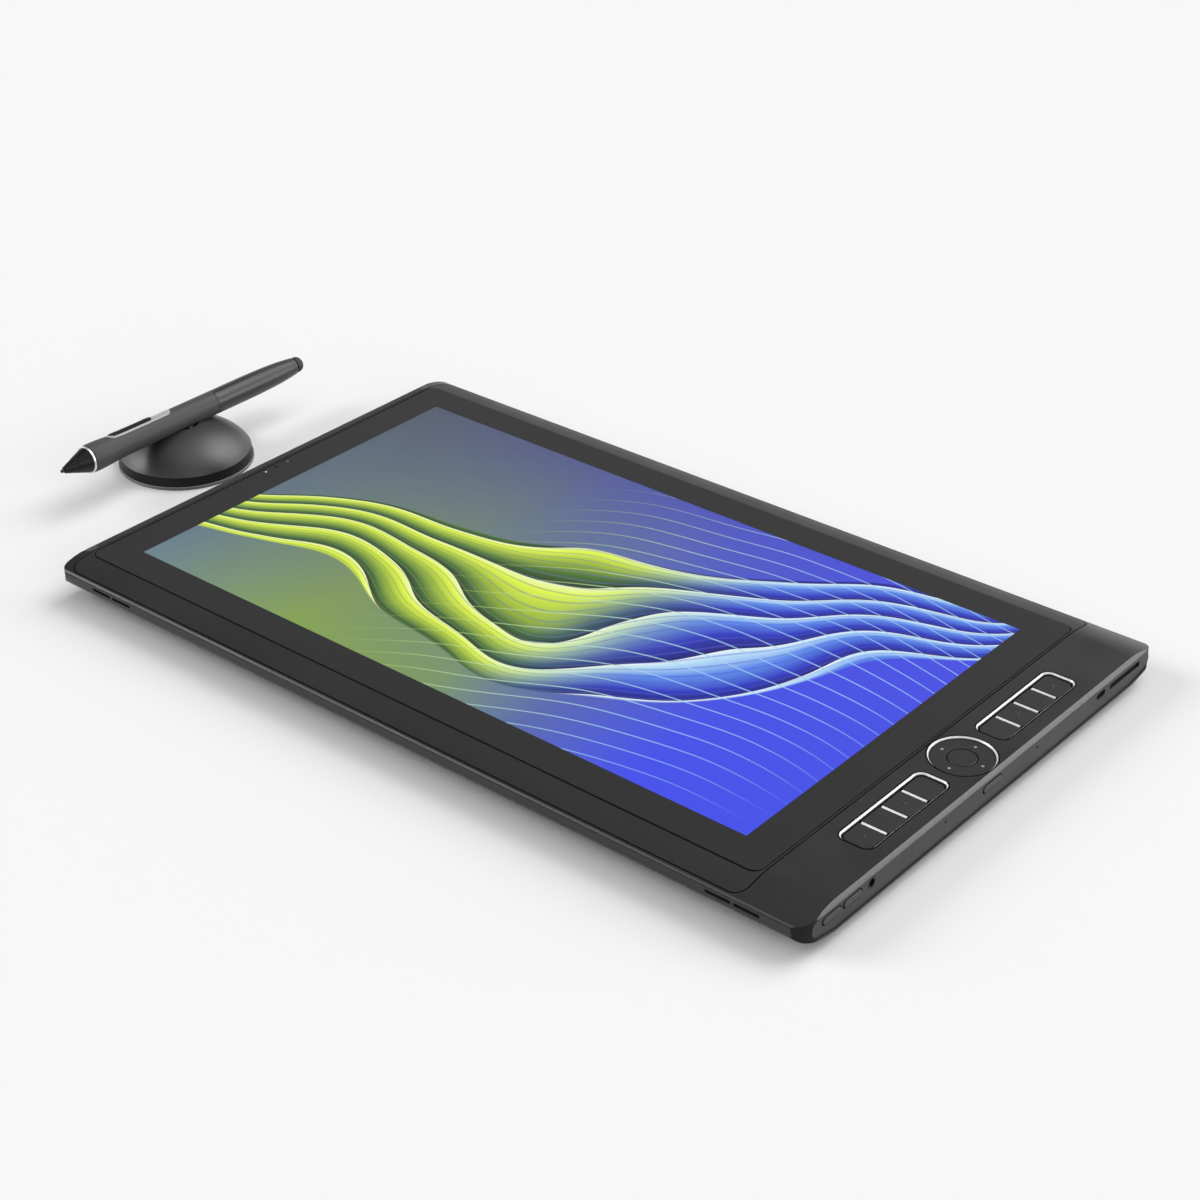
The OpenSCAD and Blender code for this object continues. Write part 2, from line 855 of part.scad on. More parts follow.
module strip_wells() {
    for (y = [-1, 1])
        translate([strip_x, y * group_y, trim_z])
            rounded_slab(group_w + 2 * fit, group_l + 2 * fit, group_corner_r + fit, tablet_h);
    translate([strip_x, 0, trim_z])
        cylinder(r = ring_r + fit, h = tablet_h);
}

module side_openings() {
    for (x = [speaker_slots_left, speaker_slots_right], i = [-0.5, 0.5])
        translate([x + i * speaker_slot_pitch, -body_half + long_rim, speaker_slot_z])
            rotate([90, 0, 0])
                linear_extrude(reach)
                    pill(speaker_slot_l, speaker_slot_h);
    for (i = [0 : usb_count - 1])
        translate([body_left + left_rim, (i - (usb_count - 1) / 2) * usb_pitch, usb_z])
            rotate([90, 0, -90])
                linear_extrude(reach)
                    pill(usb_w, usb_h);
}

module end_plate() {
    color("#55555a")
        in_tablet()
            difference() {
                union() {
                    along_end(plate_back, plate_t)
                        end_plate_outline(0);
                    switch_arms(power_y, power_l);
                    for (y = volume_places())
                        switch_arms(y, volume_l);
                }
                end_plate_holes();
            }
}

function volume_places() = [volume_y - volume_pitch / 2, volume_y + volume_pitch / 2];
function all_buttons() = [
    [power_y, power_l],
    [volume_places()[0], volume_l],
    [volume_places()[1], volume_l]
];

// Two arms behind the plate that carry a button's switch
module switch_arms(y, l) {
    for (z = [-1, 1])
        translate([switch_x, y - switch_side, port_z + z * (arm_z + arm_w / 2) - arm_w / 2])
            cube([plate_back - switch_x + eps, 2 * switch_side, arm_w]);
}

module at_port(y, x) {
    translate([x, y, port_z])
        rotate([90, 0, 90])
            children();
}

module end_plate_holes() {
    for (b = all_buttons())
        at_port(b[0], plate_back - eps)
            linear_extrude(plate_t + 2 * eps)
                pill(b[1] + 2 * key_gap, side_button_w + 2 * key_gap);
    at_port(jack_y, plate_back - eps)
        cylinder(r = jack_trim_r + fit, h = plate_t + 2 * eps);
    at_port(card_y, plate_back - eps)
        linear_extrude(plate_t + 2 * eps)
            square([card_w, card_h], center = true);
    at_port(lock_y, plate_back - eps)
        linear_extrude(plate_t + 2 * eps)
            pill(lock_l, lock_h);
    for (y = [-1, 1])
        at_port(power_y + y * mic_pitch, plate_back - eps)
            cylinder(r = mic_r, h = plate_t + 2 * eps);
}

// Display stack
module front_bezel() {
    color("#3c3c3c")
        in_tablet()
            difference() {
                intersection() {
                    body_form(0);
                    translate([0, 0, sensor_z])
                        rounded_slab(bezel_w, bezel_d, bezel_corner_r, tablet_h);
                }
                translate([0, 0, glass_z])
                    rounded_slab(glass_w + 2 * seam_gap, glass_d + 2 * seam_gap,
                        glass_corner_r + seam_gap, tablet_h);
                panel_block(fit, sensor_z - eps, tablet_h);
                camera_block(fit, sensor_z - eps, tablet_h);
            }
}

module panel_block(gap, z, h) {
    w = screen_w + 2 * panel_border + 2 * gap;
    d = screen_h + 2 * panel_border + 2 * gap;
    translate([-w / 2, -d / 2, z])
        cube([w, d, h]);
}

module camera_block(gap, z, h) {
    translate([-glass_w / 2 + camera_in, 0, z])
        linear_extrude(h)
            square([camera_w + 2 * gap, camera_l + 2 * gap], center = true);
}

module cover_glass() {
    color("#303032")
        in_tablet()
            translate([0, 0, glass_z])
                rounded_slab(glass_w, glass_d, glass_corner_r, glass_t);
}

module display_panel() {
    color("#4a60c8")
        in_tablet()
            panel_block(0, panel_z, panel_t);
}

module sensor_board() {
    color("#2f6b3c")
        in_tablet()
            panel_block(0, sensor_z, sensor_t);
}

module chassis_plate() {
    color("#9a9c9e")
        in_tablet()
            translate([0, 0, chassis_z])
                rounded_slab(glass_w, bezel_d - 2 * chassis_in, bezel_corner_r, chassis_t);
}

module webcam() {
    color("#202022")
        in_tablet()
            difference() {
                camera_block(0, sensor_z, glass_z - sensor_z);
                for (i = [-1 : 1])
                    translate([-glass_w / 2 + camera_in, i * camera_pitch, panel_z])
                        cylinder(r = lens_r * (i == 0 ? 1 : 1 / 2), h = tablet_h);
            }
}

// Bright frame round a key group, with its bevel and the bars between the keys
module key_trim(y) {
    in_tablet()
        translate([strip_x, y, 0])
            difference() {
                union() {
                    translate([0, 0, trim_z])
                        rounded_slab(group_w, group_l, group_corner_r, tablet_h - trim_z);
                    translate([0, 0, trim_z])
                        rounded_slab(group_w + 2 * trim_flange, group_l + 2 * trim_flange,
                            group_corner_r + trim_flange, trim_flange_t);
                }
                well_bevel();
                for (i = [0 : group_keys - 1])
                    translate([0, key_slot_y(i), trim_z - eps])
                        linear_extrude(tablet_h)
                            key_outline(i, 0);
                ridge_cuts();
            }
}

function key_slot_y(i) = (i - (group_keys - 1) / 2) * key_pitch;

// The bevel is a straight wall above each side and a cone in each corner
module well_bevel() {
    depth = bevel + eps;
    for (x = [-1, 1])
        translate([x * well_w / 2, 0, tablet_h - bevel])
            rotate([90, 0, 0])
                linear_extrude(well_l - 2 * well_r, center = true)
                    polygon([[-x * well_r, 0], [0, 0], [x * depth, depth], [-x * well_r, depth]]);
    for (y = [-1, 1])
        translate([0, y * well_l / 2, tablet_h - bevel])
            rotate([90, 0, 90])
                linear_extrude(well_w - 2 * well_r, center = true)
                    polygon([[-y * well_r, 0], [0, 0], [y * depth, depth], [-y * well_r, depth]]);
    for (x = [-1, 1], y = [-1, 1])
        translate([x * (well_w / 2 - well_r), y * (well_l / 2 - well_r), tablet_h - bevel])
            cylinder(r1 = well_r, r2 = well_r + depth, h = depth);
    translate([0, 0, tablet_h - bevel])
        linear_extrude(depth)
            square([well_w - 2 * well_r + eps, well_l - 2 * well_r + eps], center = true);
}

// Each bar's ridge is shorter than the bar and slopes towards the near side
module ridge_cuts() {
    for (i = [1 : group_keys - 1])
        translate([0, key_slot_y(i) - key_pitch / 2, 0]) {
            for (x = [-1, 1])
                translate([x * (ridge_l + well_w) / 4, 0, trim_z + trim_flange_t])
                    linear_extrude(tablet_h)
                        square([(well_w - ridge_l) / 2, bar_w + 2 * eps], center = true);
            translate([0, -bar_w / 2 - eps, tablet_h - bevel - ridge_drop])
                rotate([90, 0, 90])
                    linear_extrude(well_w, center = true)
                        polygon([
                            [0, 0],
                            [bar_w + 2 * eps, bar_w],
                            [bar_w + 2 * eps, tablet_h],
                            [0, tablet_h]
                        ]);
        }
}

// One key's outline in its own slot, drawn in by gap; a bar ends it but at the group's two ends
module key_outline(i, gap) {
    to_bar = (key_pitch - bar_w) / 2 - gap;
    low = i == 0 ? key_pitch / 2 : to_bar;
    high = i == group_keys - 1 ? key_pitch / 2 : to_bar;
    intersection() {
        translate([0, -key_slot_y(i)])
            rounded_rect(well_w - 2 * gap, well_l - 2 * gap, well_r - gap);
        translate([-well_w / 2, -low])
            square([well_w, low + high]);
    }
}

module lower_key_trim() {
    color("#e8e8ea")
        key_trim(-group_y);
}

module upper_key_trim() {
    color("#e8e8ea")
        key_trim(group_y);
}

module ring_trim() {
    color("#e8e8ea")
        in_tablet()
            translate([strip_x, 0, 0])
                rotate_extrude()
                    polygon([
                        [ring_hole_r, plate_top + fit],
                        [ring_r, plate_top + fit],
                        [ring_r, tablet_h],
                        [ring_hole_r, tablet_h - bevel]
                    ]);
}

module touch_ring() {
    color("#2c2c2e")
        in_tablet()
            translate([strip_x, 0, 0])
                difference() {
                    rotate_extrude()
                        translate([ring_button_r + key_gap, trim_z])
                            square([ring_hole_r - fit - ring_button_r - key_gap, key_top - trim_z]);
                    light_pins(fit);
                }
}

module light_pins(gap) {
    for (a = [0 : 90 : 270])
        rotate([0, 0, a])
            translate([light_place_r, 0, key_board_z])
                cylinder(r = light_r + gap, h = key_top - key_board_z + (gap > 0 ? eps : 0));
}

module ring_lights() {
    color("#f4f6ff")
        in_tablet()
            translate([strip_x, 0, 0])
                light_pins(0);
}

module key_board() {
    color("#2f6b3c")
        in_tablet()
            translate([strip_x - board_side, -key_board_half, key_board_z - board_t])
                cube([2 * board_side, 2 * key_board_half, board_t]);
}

module key_domes() {
    color("#c8b070")
        in_tablet()
            for (p = concat([0], key_places()))
                translate([strip_x, p, key_board_z])
                    rotate_extrude()
                        polygon([[0, 0], [dome_r2, 0], [dome_r2 / 2, dome_h], [0, dome_h]]);
}

function key_places() = [
    for (side = [-1, 1], i = [0 : group_keys - 1]) side * group_y + key_slot_y(i)
];

// A key: flat cap, two tabs that stop it under the frame, plunger for its dome
module key_cap(y, i, dotted) {
    in_tablet()
        translate([strip_x, y + key_slot_y(i), 0]) {
            translate([0, 0, key_flange_z])
                linear_extrude(key_top - key_flange_z)
                    key_outline(i, key_gap);
            translate([0, 0, key_flange_z])
                linear_extrude(key_flange_t)
                    square([well_w + 2 * key_flange, key_pitch / 2], center = true);
            translate([0, 0, key_flange_z - plunger_l])
                cylinder(r = plunger_r, h = plunger_l + eps);
            if (dotted)
                translate([0, 0, key_top - eps])
                    cylinder(r1 = dot_r, r2 = dot_r / 2, h = dot_h + eps);
        }
}

module lower_key(i) {
    color("#343436")
        key_cap(-group_y, i, i % 2 == 0);
}

module upper_key(i) {
    color("#343436")
        key_cap(group_y, i, i % 2 == 1);
}

module ring_button() {
    color("#38383a")
        in_tablet()
            translate([strip_x, 0, 0])
                rotate_extrude()
                    polygon([
                        [0, key_flange_z - plunger_l],
                        [plunger_r, key_flange_z - plunger_l],
                        [plunger_r, key_flange_z],
                        [ring_button_r + key_gap + key_flange, key_flange_z],
                        [ring_button_r + key_gap + key_flange, trim_z - rest_gap],
                        [ring_button_r, trim_z - rest_gap],
                        [ring_button_r, key_top],
                        [0, key_top]
                    ]);
}

// Buttons in the end plate
module side_button(y, l) {
    in_tablet() {
        at_port(y, plate_back - rest_gap - button_flange_t)
            linear_extrude(plate_t + rest_gap + button_flange_t + button_proud)
                pill(l, side_button_w);
        at_port(y, plate_back - rest_gap - button_flange_t)
            linear_extrude(button_flange_t)
                pill(l + button_flange, side_button_w + button_flange);
    }
}

module power_button() {
    color("#1c1c1e")
        side_button(power_y, power_l);
}

module volume_up_button() {
    color("#1c1c1e")
        side_button(volume_places()[1], volume_l);
}

module volume_down_button() {
    color("#1c1c1e")
        side_button(volume_places()[0], volume_l);
}

module side_switches() {
    color("#2f6b3c")
        in_tablet()
            for (b = all_buttons()) {
                translate([switch_x - switch_board_t, b[0] - switch_side, port_z - arm_z - arm_w])
                    cube([switch_board_t, 2 * switch_side, 2 * (arm_z + arm_w)]);
                translate([switch_x - eps, b[0] - switch_side / 2, port_z - switch_side / 2])
                    cube([switch_h + eps, switch_side, switch_side]);
            }
}

// Ports
module headset_jack() {
    color("#1a1a1c")
        in_tablet()
            difference() {
                union() {
                    at_port(jack_y, plate_back - jack_depth - jack_more)
                        linear_extrude(jack_depth + jack_more)
                            square(jack_side, center = true);
                    at_port(jack_y, plate_back - eps)
                        cylinder(r = jack_trim_r, h = plate_t + eps);
                }
                at_port(jack_y, plate_x - jack_depth)
                    cylinder(r = jack_r, h = jack_depth + eps);
            }
}

module card_reader() {
    color("#b4b6b8")
        in_tablet()
            difference() {
                at_port(card_y, plate_back - card_depth - card_wall)
                    linear_extrude(card_depth + card_wall)
                        square([card_w + 2 * card_wall, card_h + 2 * card_wall], center = true);
                at_port(card_y, plate_back - card_depth)
                    linear_extrude(card_depth + eps)
                        square([card_w, card_h], center = true);
            }
}

module lock_plate() {
    color("#a8aaac")
        in_tablet()
            at_port(lock_y, plate_back - lock_plate_t)
                linear_extrude(lock_plate_t)
                    difference() {
                        square([lock_l + 2 * lock_margin, lock_h + 2 * lock_margin], center = true);
                        pill(lock_l, lock_h);
                    }
}

module microphones() {
    color("#1a1a1c")
        in_tablet()
            for (y = [-1, 1])
                at_port(power_y + y * mic_pitch, plate_back - mic_body_t)
                    cylinder(r = mic_body_r, h = mic_body_t);
}

module usb_ports() {
    color("#c0c2c4")
        in_tablet()
            for (i = [0 : usb_count - 1])
                translate([body_left + wall_t + fit, (i - (usb_count - 1) / 2) * usb_pitch, usb_z])
                    rotate([90, 0, 90])
                        difference() {
                            linear_extrude(usb_depth)
                                pill(usb_w + 2 * usb_wall, usb_h + 2 * usb_wall);
                            translate([0, 0, -eps])
                                linear_extrude(usb_depth - usb_back)
                                    difference() {
                                        pill(usb_w - 2 * fit, usb_h - 2 * fit);
                                        square([usb_w - usb_h, usb_tongue_t], center = true);
                                    }
                        }
}

module usb_board() {
    color("#2f6b3c")
        in_tablet()
            translate([
                body_left + wall_t + fit,
                -usb_pitch * usb_count / 2 - usb_board_more / 2,
                usb_z - usb_h / 2 - usb_wall - usb_board_t
            ])
                cube([usb_board_l, usb_pitch * usb_count + usb_board_more, usb_board_t]);
}

// Inside of the tablet
module main_board() {
    color("#1f5a34")
        in_tablet() {
            translate([board_x, board_y, board_z])
                cube([board_l, board_w, board_t]);
            translate([chip_x, chip_y, board_z + board_t - eps])
                linear_extrude(chip_t + eps)
                    square([chip_w, chip_d], center = true);
        }
}

module storage_module() {
    color("#26262a")
        in_tablet()
            translate([board_x + board_l - storage_l - storage_in, board_y + storage_in, board_z + board_t])
                cube([storage_l, storage_w, storage_t]);
}

module battery_pack() {
    color("#303034")
        in_tablet()
            for (i = [0 : cell_count - 1])
                translate([cell_x + cell_l / 2 + i * (cell_l + cell_gap), cell_y + cell_w / 2, floor_z])
                    rounded_slab(cell_l, cell_w, layout_gap / 2, cell_t);
}

module heat_sink() {
    pipe_start = fan_xs[0] - fan_side / 2;
    color("#b87848")
        in_tablet() {
            for (x = fan_xs, i = [0 : floor((fan_side - fin_t) / fin_pitch)])
                translate([x - fan_side / 2 + i * fin_pitch, fin_y, floor_z])
                    cube([fin_t, fin_d, fin_h + eps]);
            translate([pipe_start, pipe_y - pipe_w / 2, pipe_z])
                cube([chip_x + pipe_w / 2 - pipe_start, pipe_w, pipe_t]);
            translate([chip_x - pipe_w / 2, chip_y - pipe_w / 2, pipe_z])
                cube([pipe_w, pipe_y - chip_y + pipe_w, pipe_t]);
            translate([chip_x - spreader_w / 2, chip_y - spreader_w / 2, board_z + board_t + chip_t])
                cube([spreader_w, spreader_w, pipe_z - board_z - board_t - chip_t + eps]);
        }
}

module fan_housings() {
    color("#28282a")
        in_tablet()
            for (x = fan_xs)
                translate([x, fan_y, floor_z]) {
                    difference() {
                        translate([-fan_side / 2, -fan_side / 2, 0])
                            cube([fan_side, fan_side, fan_h]);
                        translate([0, 0, fan_wall])
                            cylinder(r = rotor_r + rotor_gap, h = fan_h - 2 * fan_wall);
                        translate([-rotor_r, 0, fan_wall])
                            cube([2 * rotor_r, fan_side, fan_h - 2 * fan_wall]);
                        translate([0, 0, -eps])
                            linear_extrude(fan_wall + 2 * eps)
                                difference() {
                                    circle(intake_r);
                                    circle(hub_r);
                                    square([2 * intake_r, 2 * axle_r], center = true);
                                }
                    }
                    cylinder(r = axle_r, h = fan_h - fan_wall + eps);
                }
}

module fan_rotor(x) {
    rotor_h = fan_h - 2 * fan_wall - 2 * rotor_lift;
    in_tablet()
        translate([x, fan_y, floor_z + fan_wall + rotor_lift])
            difference() {
                union() {
                    cylinder(r = hub_r, h = rotor_h);
                    for (i = [0 : rotor_blades - 1])
                        rotate([0, 0, i * 360 / rotor_blades])
                            translate([hub_r - blade_t, -blade_t / 2, 0])
                                cube([rotor_r - hub_r, blade_t, rotor_h]);
                }
                translate([0, 0, -eps])
                    cylinder(r = axle_r + axle_gap, h = rotor_h + 2 * eps);
            }
}

module left_fan_rotor() {
    color("#1c1c1e")
        fan_rotor(fan_xs[0]);
}

module right_fan_rotor() {
    color("#1c1c1e")
        fan_rotor(fan_xs[1]);
}

module speakers() {
    color("#1c1c1e")
        in_tablet()
            for (x = [speaker_slots_left, speaker_slots_right])
                translate([x - speaker_l / 2, -body_half + speaker_in, chassis_z - speaker_t])
                    cube([speaker_l, speaker_d, speaker_t]);
}

module rubber_feet() {
    color("#161618")
        in_tablet()
            for (p = foot_places)
                translate([p[0], p[1], 0])
                    linear_extrude(foot_h + foot_pocket)
                        pill(foot_l, foot_w);
}

module cover_screws() {
    color("#8a8c90")
        in_tablet()
            for (p = posts)
                translate([p[0], p[1], foot_h]) {
                    cylinder(r = screw_head_r, h = screw_head_t);
                    cylinder(r = screw_r, h = screw_l);
                }
}

// Pen stand
module stand_foot() {
    color("#a0a0a2")
        in_stand()
            cylinder(r = stand_r, h = stand_foot_t);
}

module stand_base() {
    color("#2a2a2c")
        in_stand()
            difference() {
                union() {
                    rotate_extrude()
                        polygon([
                            [0, base_z],
                            [stand_r - base_in, base_z],
                            [dome_r, base_h],
                            [dome_r - dome_wall, base_h],
                            [dome_r - dome_wall, base_z + base_floor],
                            [0, base_z + base_floor]
                        ]);
                    translate([0, 0, base_z + base_floor - eps])
                        difference() {
                            cylinder(r = nib_rack_r, h = nib_rack_h - base_floor + eps);
                            translate([0, 0, -eps])
                                cylinder(r = 2 * nib_ring_r - nib_rack_r, h = nib_rack_h);
                        }
                    cylinder(r = pivot_r, h = dome_z + collar_h);
                }
                translate([0, 0, -eps])
                    cylinder(r = stand_r, h = base_z + eps);
                nib_places()
                    translate([0, 0, base_z + base_floor])
                        cylinder(r = nib_hole_r, h = nib_rack_h + eps);
            }
}

module nib_places() {
    for (i = [0 : spare_nibs - 1])
        rotate([0, 0, (i + 1 / 2) * 360 / spare_nibs])
            translate([nib_ring_r, 0, 0])
                children();
}

module spare_nib_set() {
    color("#202022")
        in_stand()
            nib_places()
                translate([0, 0, base_z + base_floor]) {
                    cylinder(r = nib_r, h = spare_l - nib_r);
                    translate([0, 0, spare_l - nib_r])
                        sphere(nib_r);
                }
}

module stand_dome() {
    color("#4a4a4c")
        in_stand()
            difference() {
                union() {
                    rotate_extrude()
                        polygon(concat(
                            [[0, dome_top - dome_wall], [0, dome_top]],
                            [for (i = [dome_steps - 1 : -1 : 0]) dome_at(i, 0)],
                            [for (i = [0 : dome_steps - 1]) dome_at(i, dome_wall)]
                        ));
                    socket_body();
                    dome_hub();
                }
                saddle_cut();
                translate([0, 0, pen_z - saddle_r - socket_depth])
                    cylinder(r = socket_r, h = pen_z);
                translate([0, 0, dome_top - mouth_depth])
                    cylinder(r1 = socket_r, r2 = mouth_r, h = mouth_depth);
            }
}

// Saddle walls and socket walls, kept inside the dome's own outer form
module socket_body() {
    intersection() {
        rotate_extrude()
            polygon(concat(
                [[0, hub_top], [0, dome_top]],
                [for (i = [dome_steps - 1 : -1 : 0]) dome_at(i, 0)],
                [[mouth_r + dome_wall / 2, hub_top]]
            ));
        union() {
            translate([0, dome_r, pen_z])
                rotate([90, 0, 0])
                    cylinder(r = saddle_r + dome_wall, h = 2 * dome_r);
            translate([0, 0, hub_top])
                cylinder(r = mouth_r + dome_wall / 2, h = dome_top);
        }
    }
}

// Hub that turns on the base's pivot
module dome_hub() {
    translate([0, 0, dome_z])
        difference() {
            cylinder(r = socket_r + dome_wall, h = hub_top - dome_z + rest_gap);
            translate([0, 0, -eps])
                cylinder(r = pivot_r + pivot_gap, h = hub_top - dome_z + eps);
        }
}

module saddle_cut() {
    translate([0, dome_r + eps, pen_z])
        rotate([90, 0, 0])
            cylinder(r = saddle_r, h = 2 * (dome_r + eps));
}

// Pen
module grip_form(more) {
    rotate_extrude()
        polygon(concat(
            [[0, grip_s]],
            [[pen_ring_r + more, grip_s]],
            [
                for (i = [0 : grip_steps])
                    let (s = grip_s + grip_lip + i * (grip_end_s - grip_s - grip_lip) / grip_steps)
                        [grip_at(s) + more, s]
            ],
            [[0, grip_end_s]]
        ));
}

// Block over the switch's outline, standing up from the pen's axis
module switch_block(s, l, w) {
    translate([0, 0, s])
        rotate([-90, -90, 0])
            linear_extrude(flare_r + reach)
                pill(l, w);
}

// Opening that leaves the side switch room to rock
module switch_opening() {
    switch_block(switch_s - switch_forward, switch_l + 2 * switch_gap, switch_w + 2 * switch_gap);
}

module pen_grip() {
    color("#5e5e60")
        along_pen()
            difference() {
                grip_form(0);
                translate([0, 0, grip_s - eps])
                    cylinder(r = pen_bore_r, h = pen_l);
                difference() {
                    switch_block(switch_s, switch_plate_l + 2 * fit, switch_plate_w + 2 * fit);
                    grip_form(-plate_depth);
                }
                difference() {
                    switch_opening();
                    grip_form(-switch_room);
                }
            }
}

module pen_switch_plate() {
    color("#c4c6c8")
        along_pen()
            intersection() {
                difference() {
                    switch_block(switch_s, switch_plate_l, switch_plate_w);
                    switch_opening();
                    grip_form(-plate_depth);
                }
                grip_form(plate_proud);
            }
}

module pen_side_switch() {
    color("#1c1c1e")
        along_pen()
            intersection() {
                difference() {
                    switch_block(switch_s - switch_forward, switch_l, switch_w);
                    grip_form(-switch_depth);
                }
                grip_form(plate_proud + switch_proud);
            }
}

module pen_front_cone() {
    color("#1e1e20")
        along_pen()
            difference() {
                rotate_extrude()
                    polygon([
                        [0, nib_out],
                        [cone_mouth_r, nib_out],
                        [cone_at(cone_seam_s - cone_seam), cone_seam_s - cone_seam],
                        [cone_at(cone_seam_s) - cone_seam, cone_seam_s],
                        [cone_at(cone_seam_s + cone_seam), cone_seam_s + cone_seam],
                        [cone_rear_r, cone_end_s],
                        [core_r + cone_wall, cone_end_s],
                        [core_r, cone_end_s + pen_ring_l],
                        [core_r, nib_seat_s],
                        [0, nib_seat_s]
                    ]);
                cylinder(r = cone_bore_r, h = pen_l);
            }
}

module pen_ring() {
    color("#d8d8da")
        along_pen()
            translate([0, 0, pen_ring_s])
                difference() {
                    cylinder(r = pen_ring_r, h = pen_ring_l);
                    translate([0, 0, -eps])
                        cylinder(r = core_r + cone_wall + fit, h = pen_ring_l + 2 * eps);
                }
}

module pen_rear_barrel() {
    color("#4a4a4c")
        along_pen()
            difference() {
                rotate_extrude()
                    polygon(concat(
                        [[0, grip_end_s], [grip_r - joint_groove, grip_end_s]],
                        [
                            for (i = [0 : barrel_steps])
                                let (s = barrel_s + i * (barrel_end_s - barrel_s) / barrel_steps)
                                    [barrel_at(s), s]
                        ],
                        [[0, barrel_end_s]]
                    ));
                translate([0, 0, grip_end_s - eps])
                    cylinder(r = pen_bore_r, h = core_end_s - grip_end_s + eps);
                translate([0, 0, barrel_end_s - eraser_stem_l - eraser_travel - rest_gap])
                    cylinder(r = eraser_stem_r + slide_gap, h = pen_l);
            }
}

module pen_core() {
    color("#b87848")
        along_pen()
            translate([0, 0, core_s])
                cylinder(r = core_r, h = core_end_s - core_s);
}

module pen_nib() {
    color("#101012")
        along_pen()
            rotate_extrude() {
                translate([0, nib_r])
                    intersection() {
                        circle(nib_r);
                        translate([0, -nib_r])
                            square([nib_r, 2 * nib_r]);
                    }
                translate([0, nib_r])
                    square([nib_r, core_s - nib_travel - rest_gap - nib_r]);
            }
}

module pen_eraser() {
    round_r = eraser_r * eraser_round;
    neck_s = barrel_end_s + eraser_travel + rest_gap;
    color("#303032")
        along_pen()
            rotate_extrude() {
                translate([0, barrel_end_s - eraser_stem_l])
                    square([eraser_stem_r, eraser_stem_l + eraser_l / 2]);
                translate([0, neck_s])
                    square([eraser_r, pen_l - round_r - neck_s]);
                translate([0, neck_s])
                    square([eraser_r - round_r, pen_l - neck_s]);
                translate([eraser_r - round_r, pen_l - round_r])
                    intersection() {
                        circle(round_r);
                        translate([round_r - eraser_r, 0])
                            square([eraser_r, round_r]);
                    }
            }
}

rear_cover();
top_housing();
front_bezel();
cover_glass();
display_panel();
sensor_board();
chassis_plate();
end_plate();
lower_key_trim();
upper_key_trim();
ring_trim();
touch_ring();
ring_lights();
key_board();
key_domes();
webcam();
main_board();
battery_pack();
heat_sink();
fan_housings();
storage_module();
speakers();
card_reader();
headset_jack();
lock_plate();
microphones();
side_switches();
usb_board();
usb_ports();
rubber_feet();
cover_screws();
left_fan_rotor();
right_fan_rotor();
lower_key(0);  // lower_key_1
lower_key(1);  // lower_key_2
lower_key(2);  // lower_key_3
lower_key(3);  // lower_key_4
upper_key(0);  // upper_key_1
upper_key(1);  // upper_key_2
upper_key(2);  // upper_key_3
upper_key(3);  // upper_key_4
ring_button();
power_button();
volume_up_button();
volume_down_button();
stand_foot();
stand_base();
spare_nib_set();
stand_dome();
pen_grip();
pen_front_cone();
pen_ring();
pen_switch_plate();
pen_rear_barrel();
pen_core();
pen_side_switch();
pen_nib();
pen_eraser();
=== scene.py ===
import json
import math

import bmesh
import bpy
from mathutils import Matrix, Vector

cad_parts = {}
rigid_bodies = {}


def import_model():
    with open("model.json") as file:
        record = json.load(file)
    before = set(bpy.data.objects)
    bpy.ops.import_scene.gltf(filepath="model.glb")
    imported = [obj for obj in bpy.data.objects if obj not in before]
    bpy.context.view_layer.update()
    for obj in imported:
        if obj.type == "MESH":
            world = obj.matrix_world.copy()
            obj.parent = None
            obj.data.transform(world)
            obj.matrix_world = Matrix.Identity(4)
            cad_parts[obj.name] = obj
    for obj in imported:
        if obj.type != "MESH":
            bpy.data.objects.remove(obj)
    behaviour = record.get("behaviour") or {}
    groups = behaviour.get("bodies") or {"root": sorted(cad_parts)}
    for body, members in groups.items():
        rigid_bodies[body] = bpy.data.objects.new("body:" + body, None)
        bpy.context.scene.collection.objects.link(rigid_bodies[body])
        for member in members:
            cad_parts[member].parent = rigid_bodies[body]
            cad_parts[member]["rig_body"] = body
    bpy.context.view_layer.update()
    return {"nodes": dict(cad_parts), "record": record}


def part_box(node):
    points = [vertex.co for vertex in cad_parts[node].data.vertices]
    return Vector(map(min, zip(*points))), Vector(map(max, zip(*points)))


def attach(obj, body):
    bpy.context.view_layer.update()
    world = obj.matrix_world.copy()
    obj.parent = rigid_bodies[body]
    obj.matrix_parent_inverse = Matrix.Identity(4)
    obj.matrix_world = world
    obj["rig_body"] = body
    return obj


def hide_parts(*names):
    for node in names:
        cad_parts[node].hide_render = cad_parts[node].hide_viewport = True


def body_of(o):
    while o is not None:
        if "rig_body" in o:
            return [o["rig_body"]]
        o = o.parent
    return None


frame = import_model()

# Camera
# A long lens looks down on the set from its right front corner, as in the photograph.
# The frame is square, so the lens goes with the sensor's width.
EYE = Vector((0.65327, -0.704467, 0.566913))
AZIMUTH = math.radians(40.452)
ELEVATION = math.radians(30.553)
ROLL = math.radians(-0.611)
SENSOR_MM = 36
LENS_MM = 73.42
FARTHEST = 20

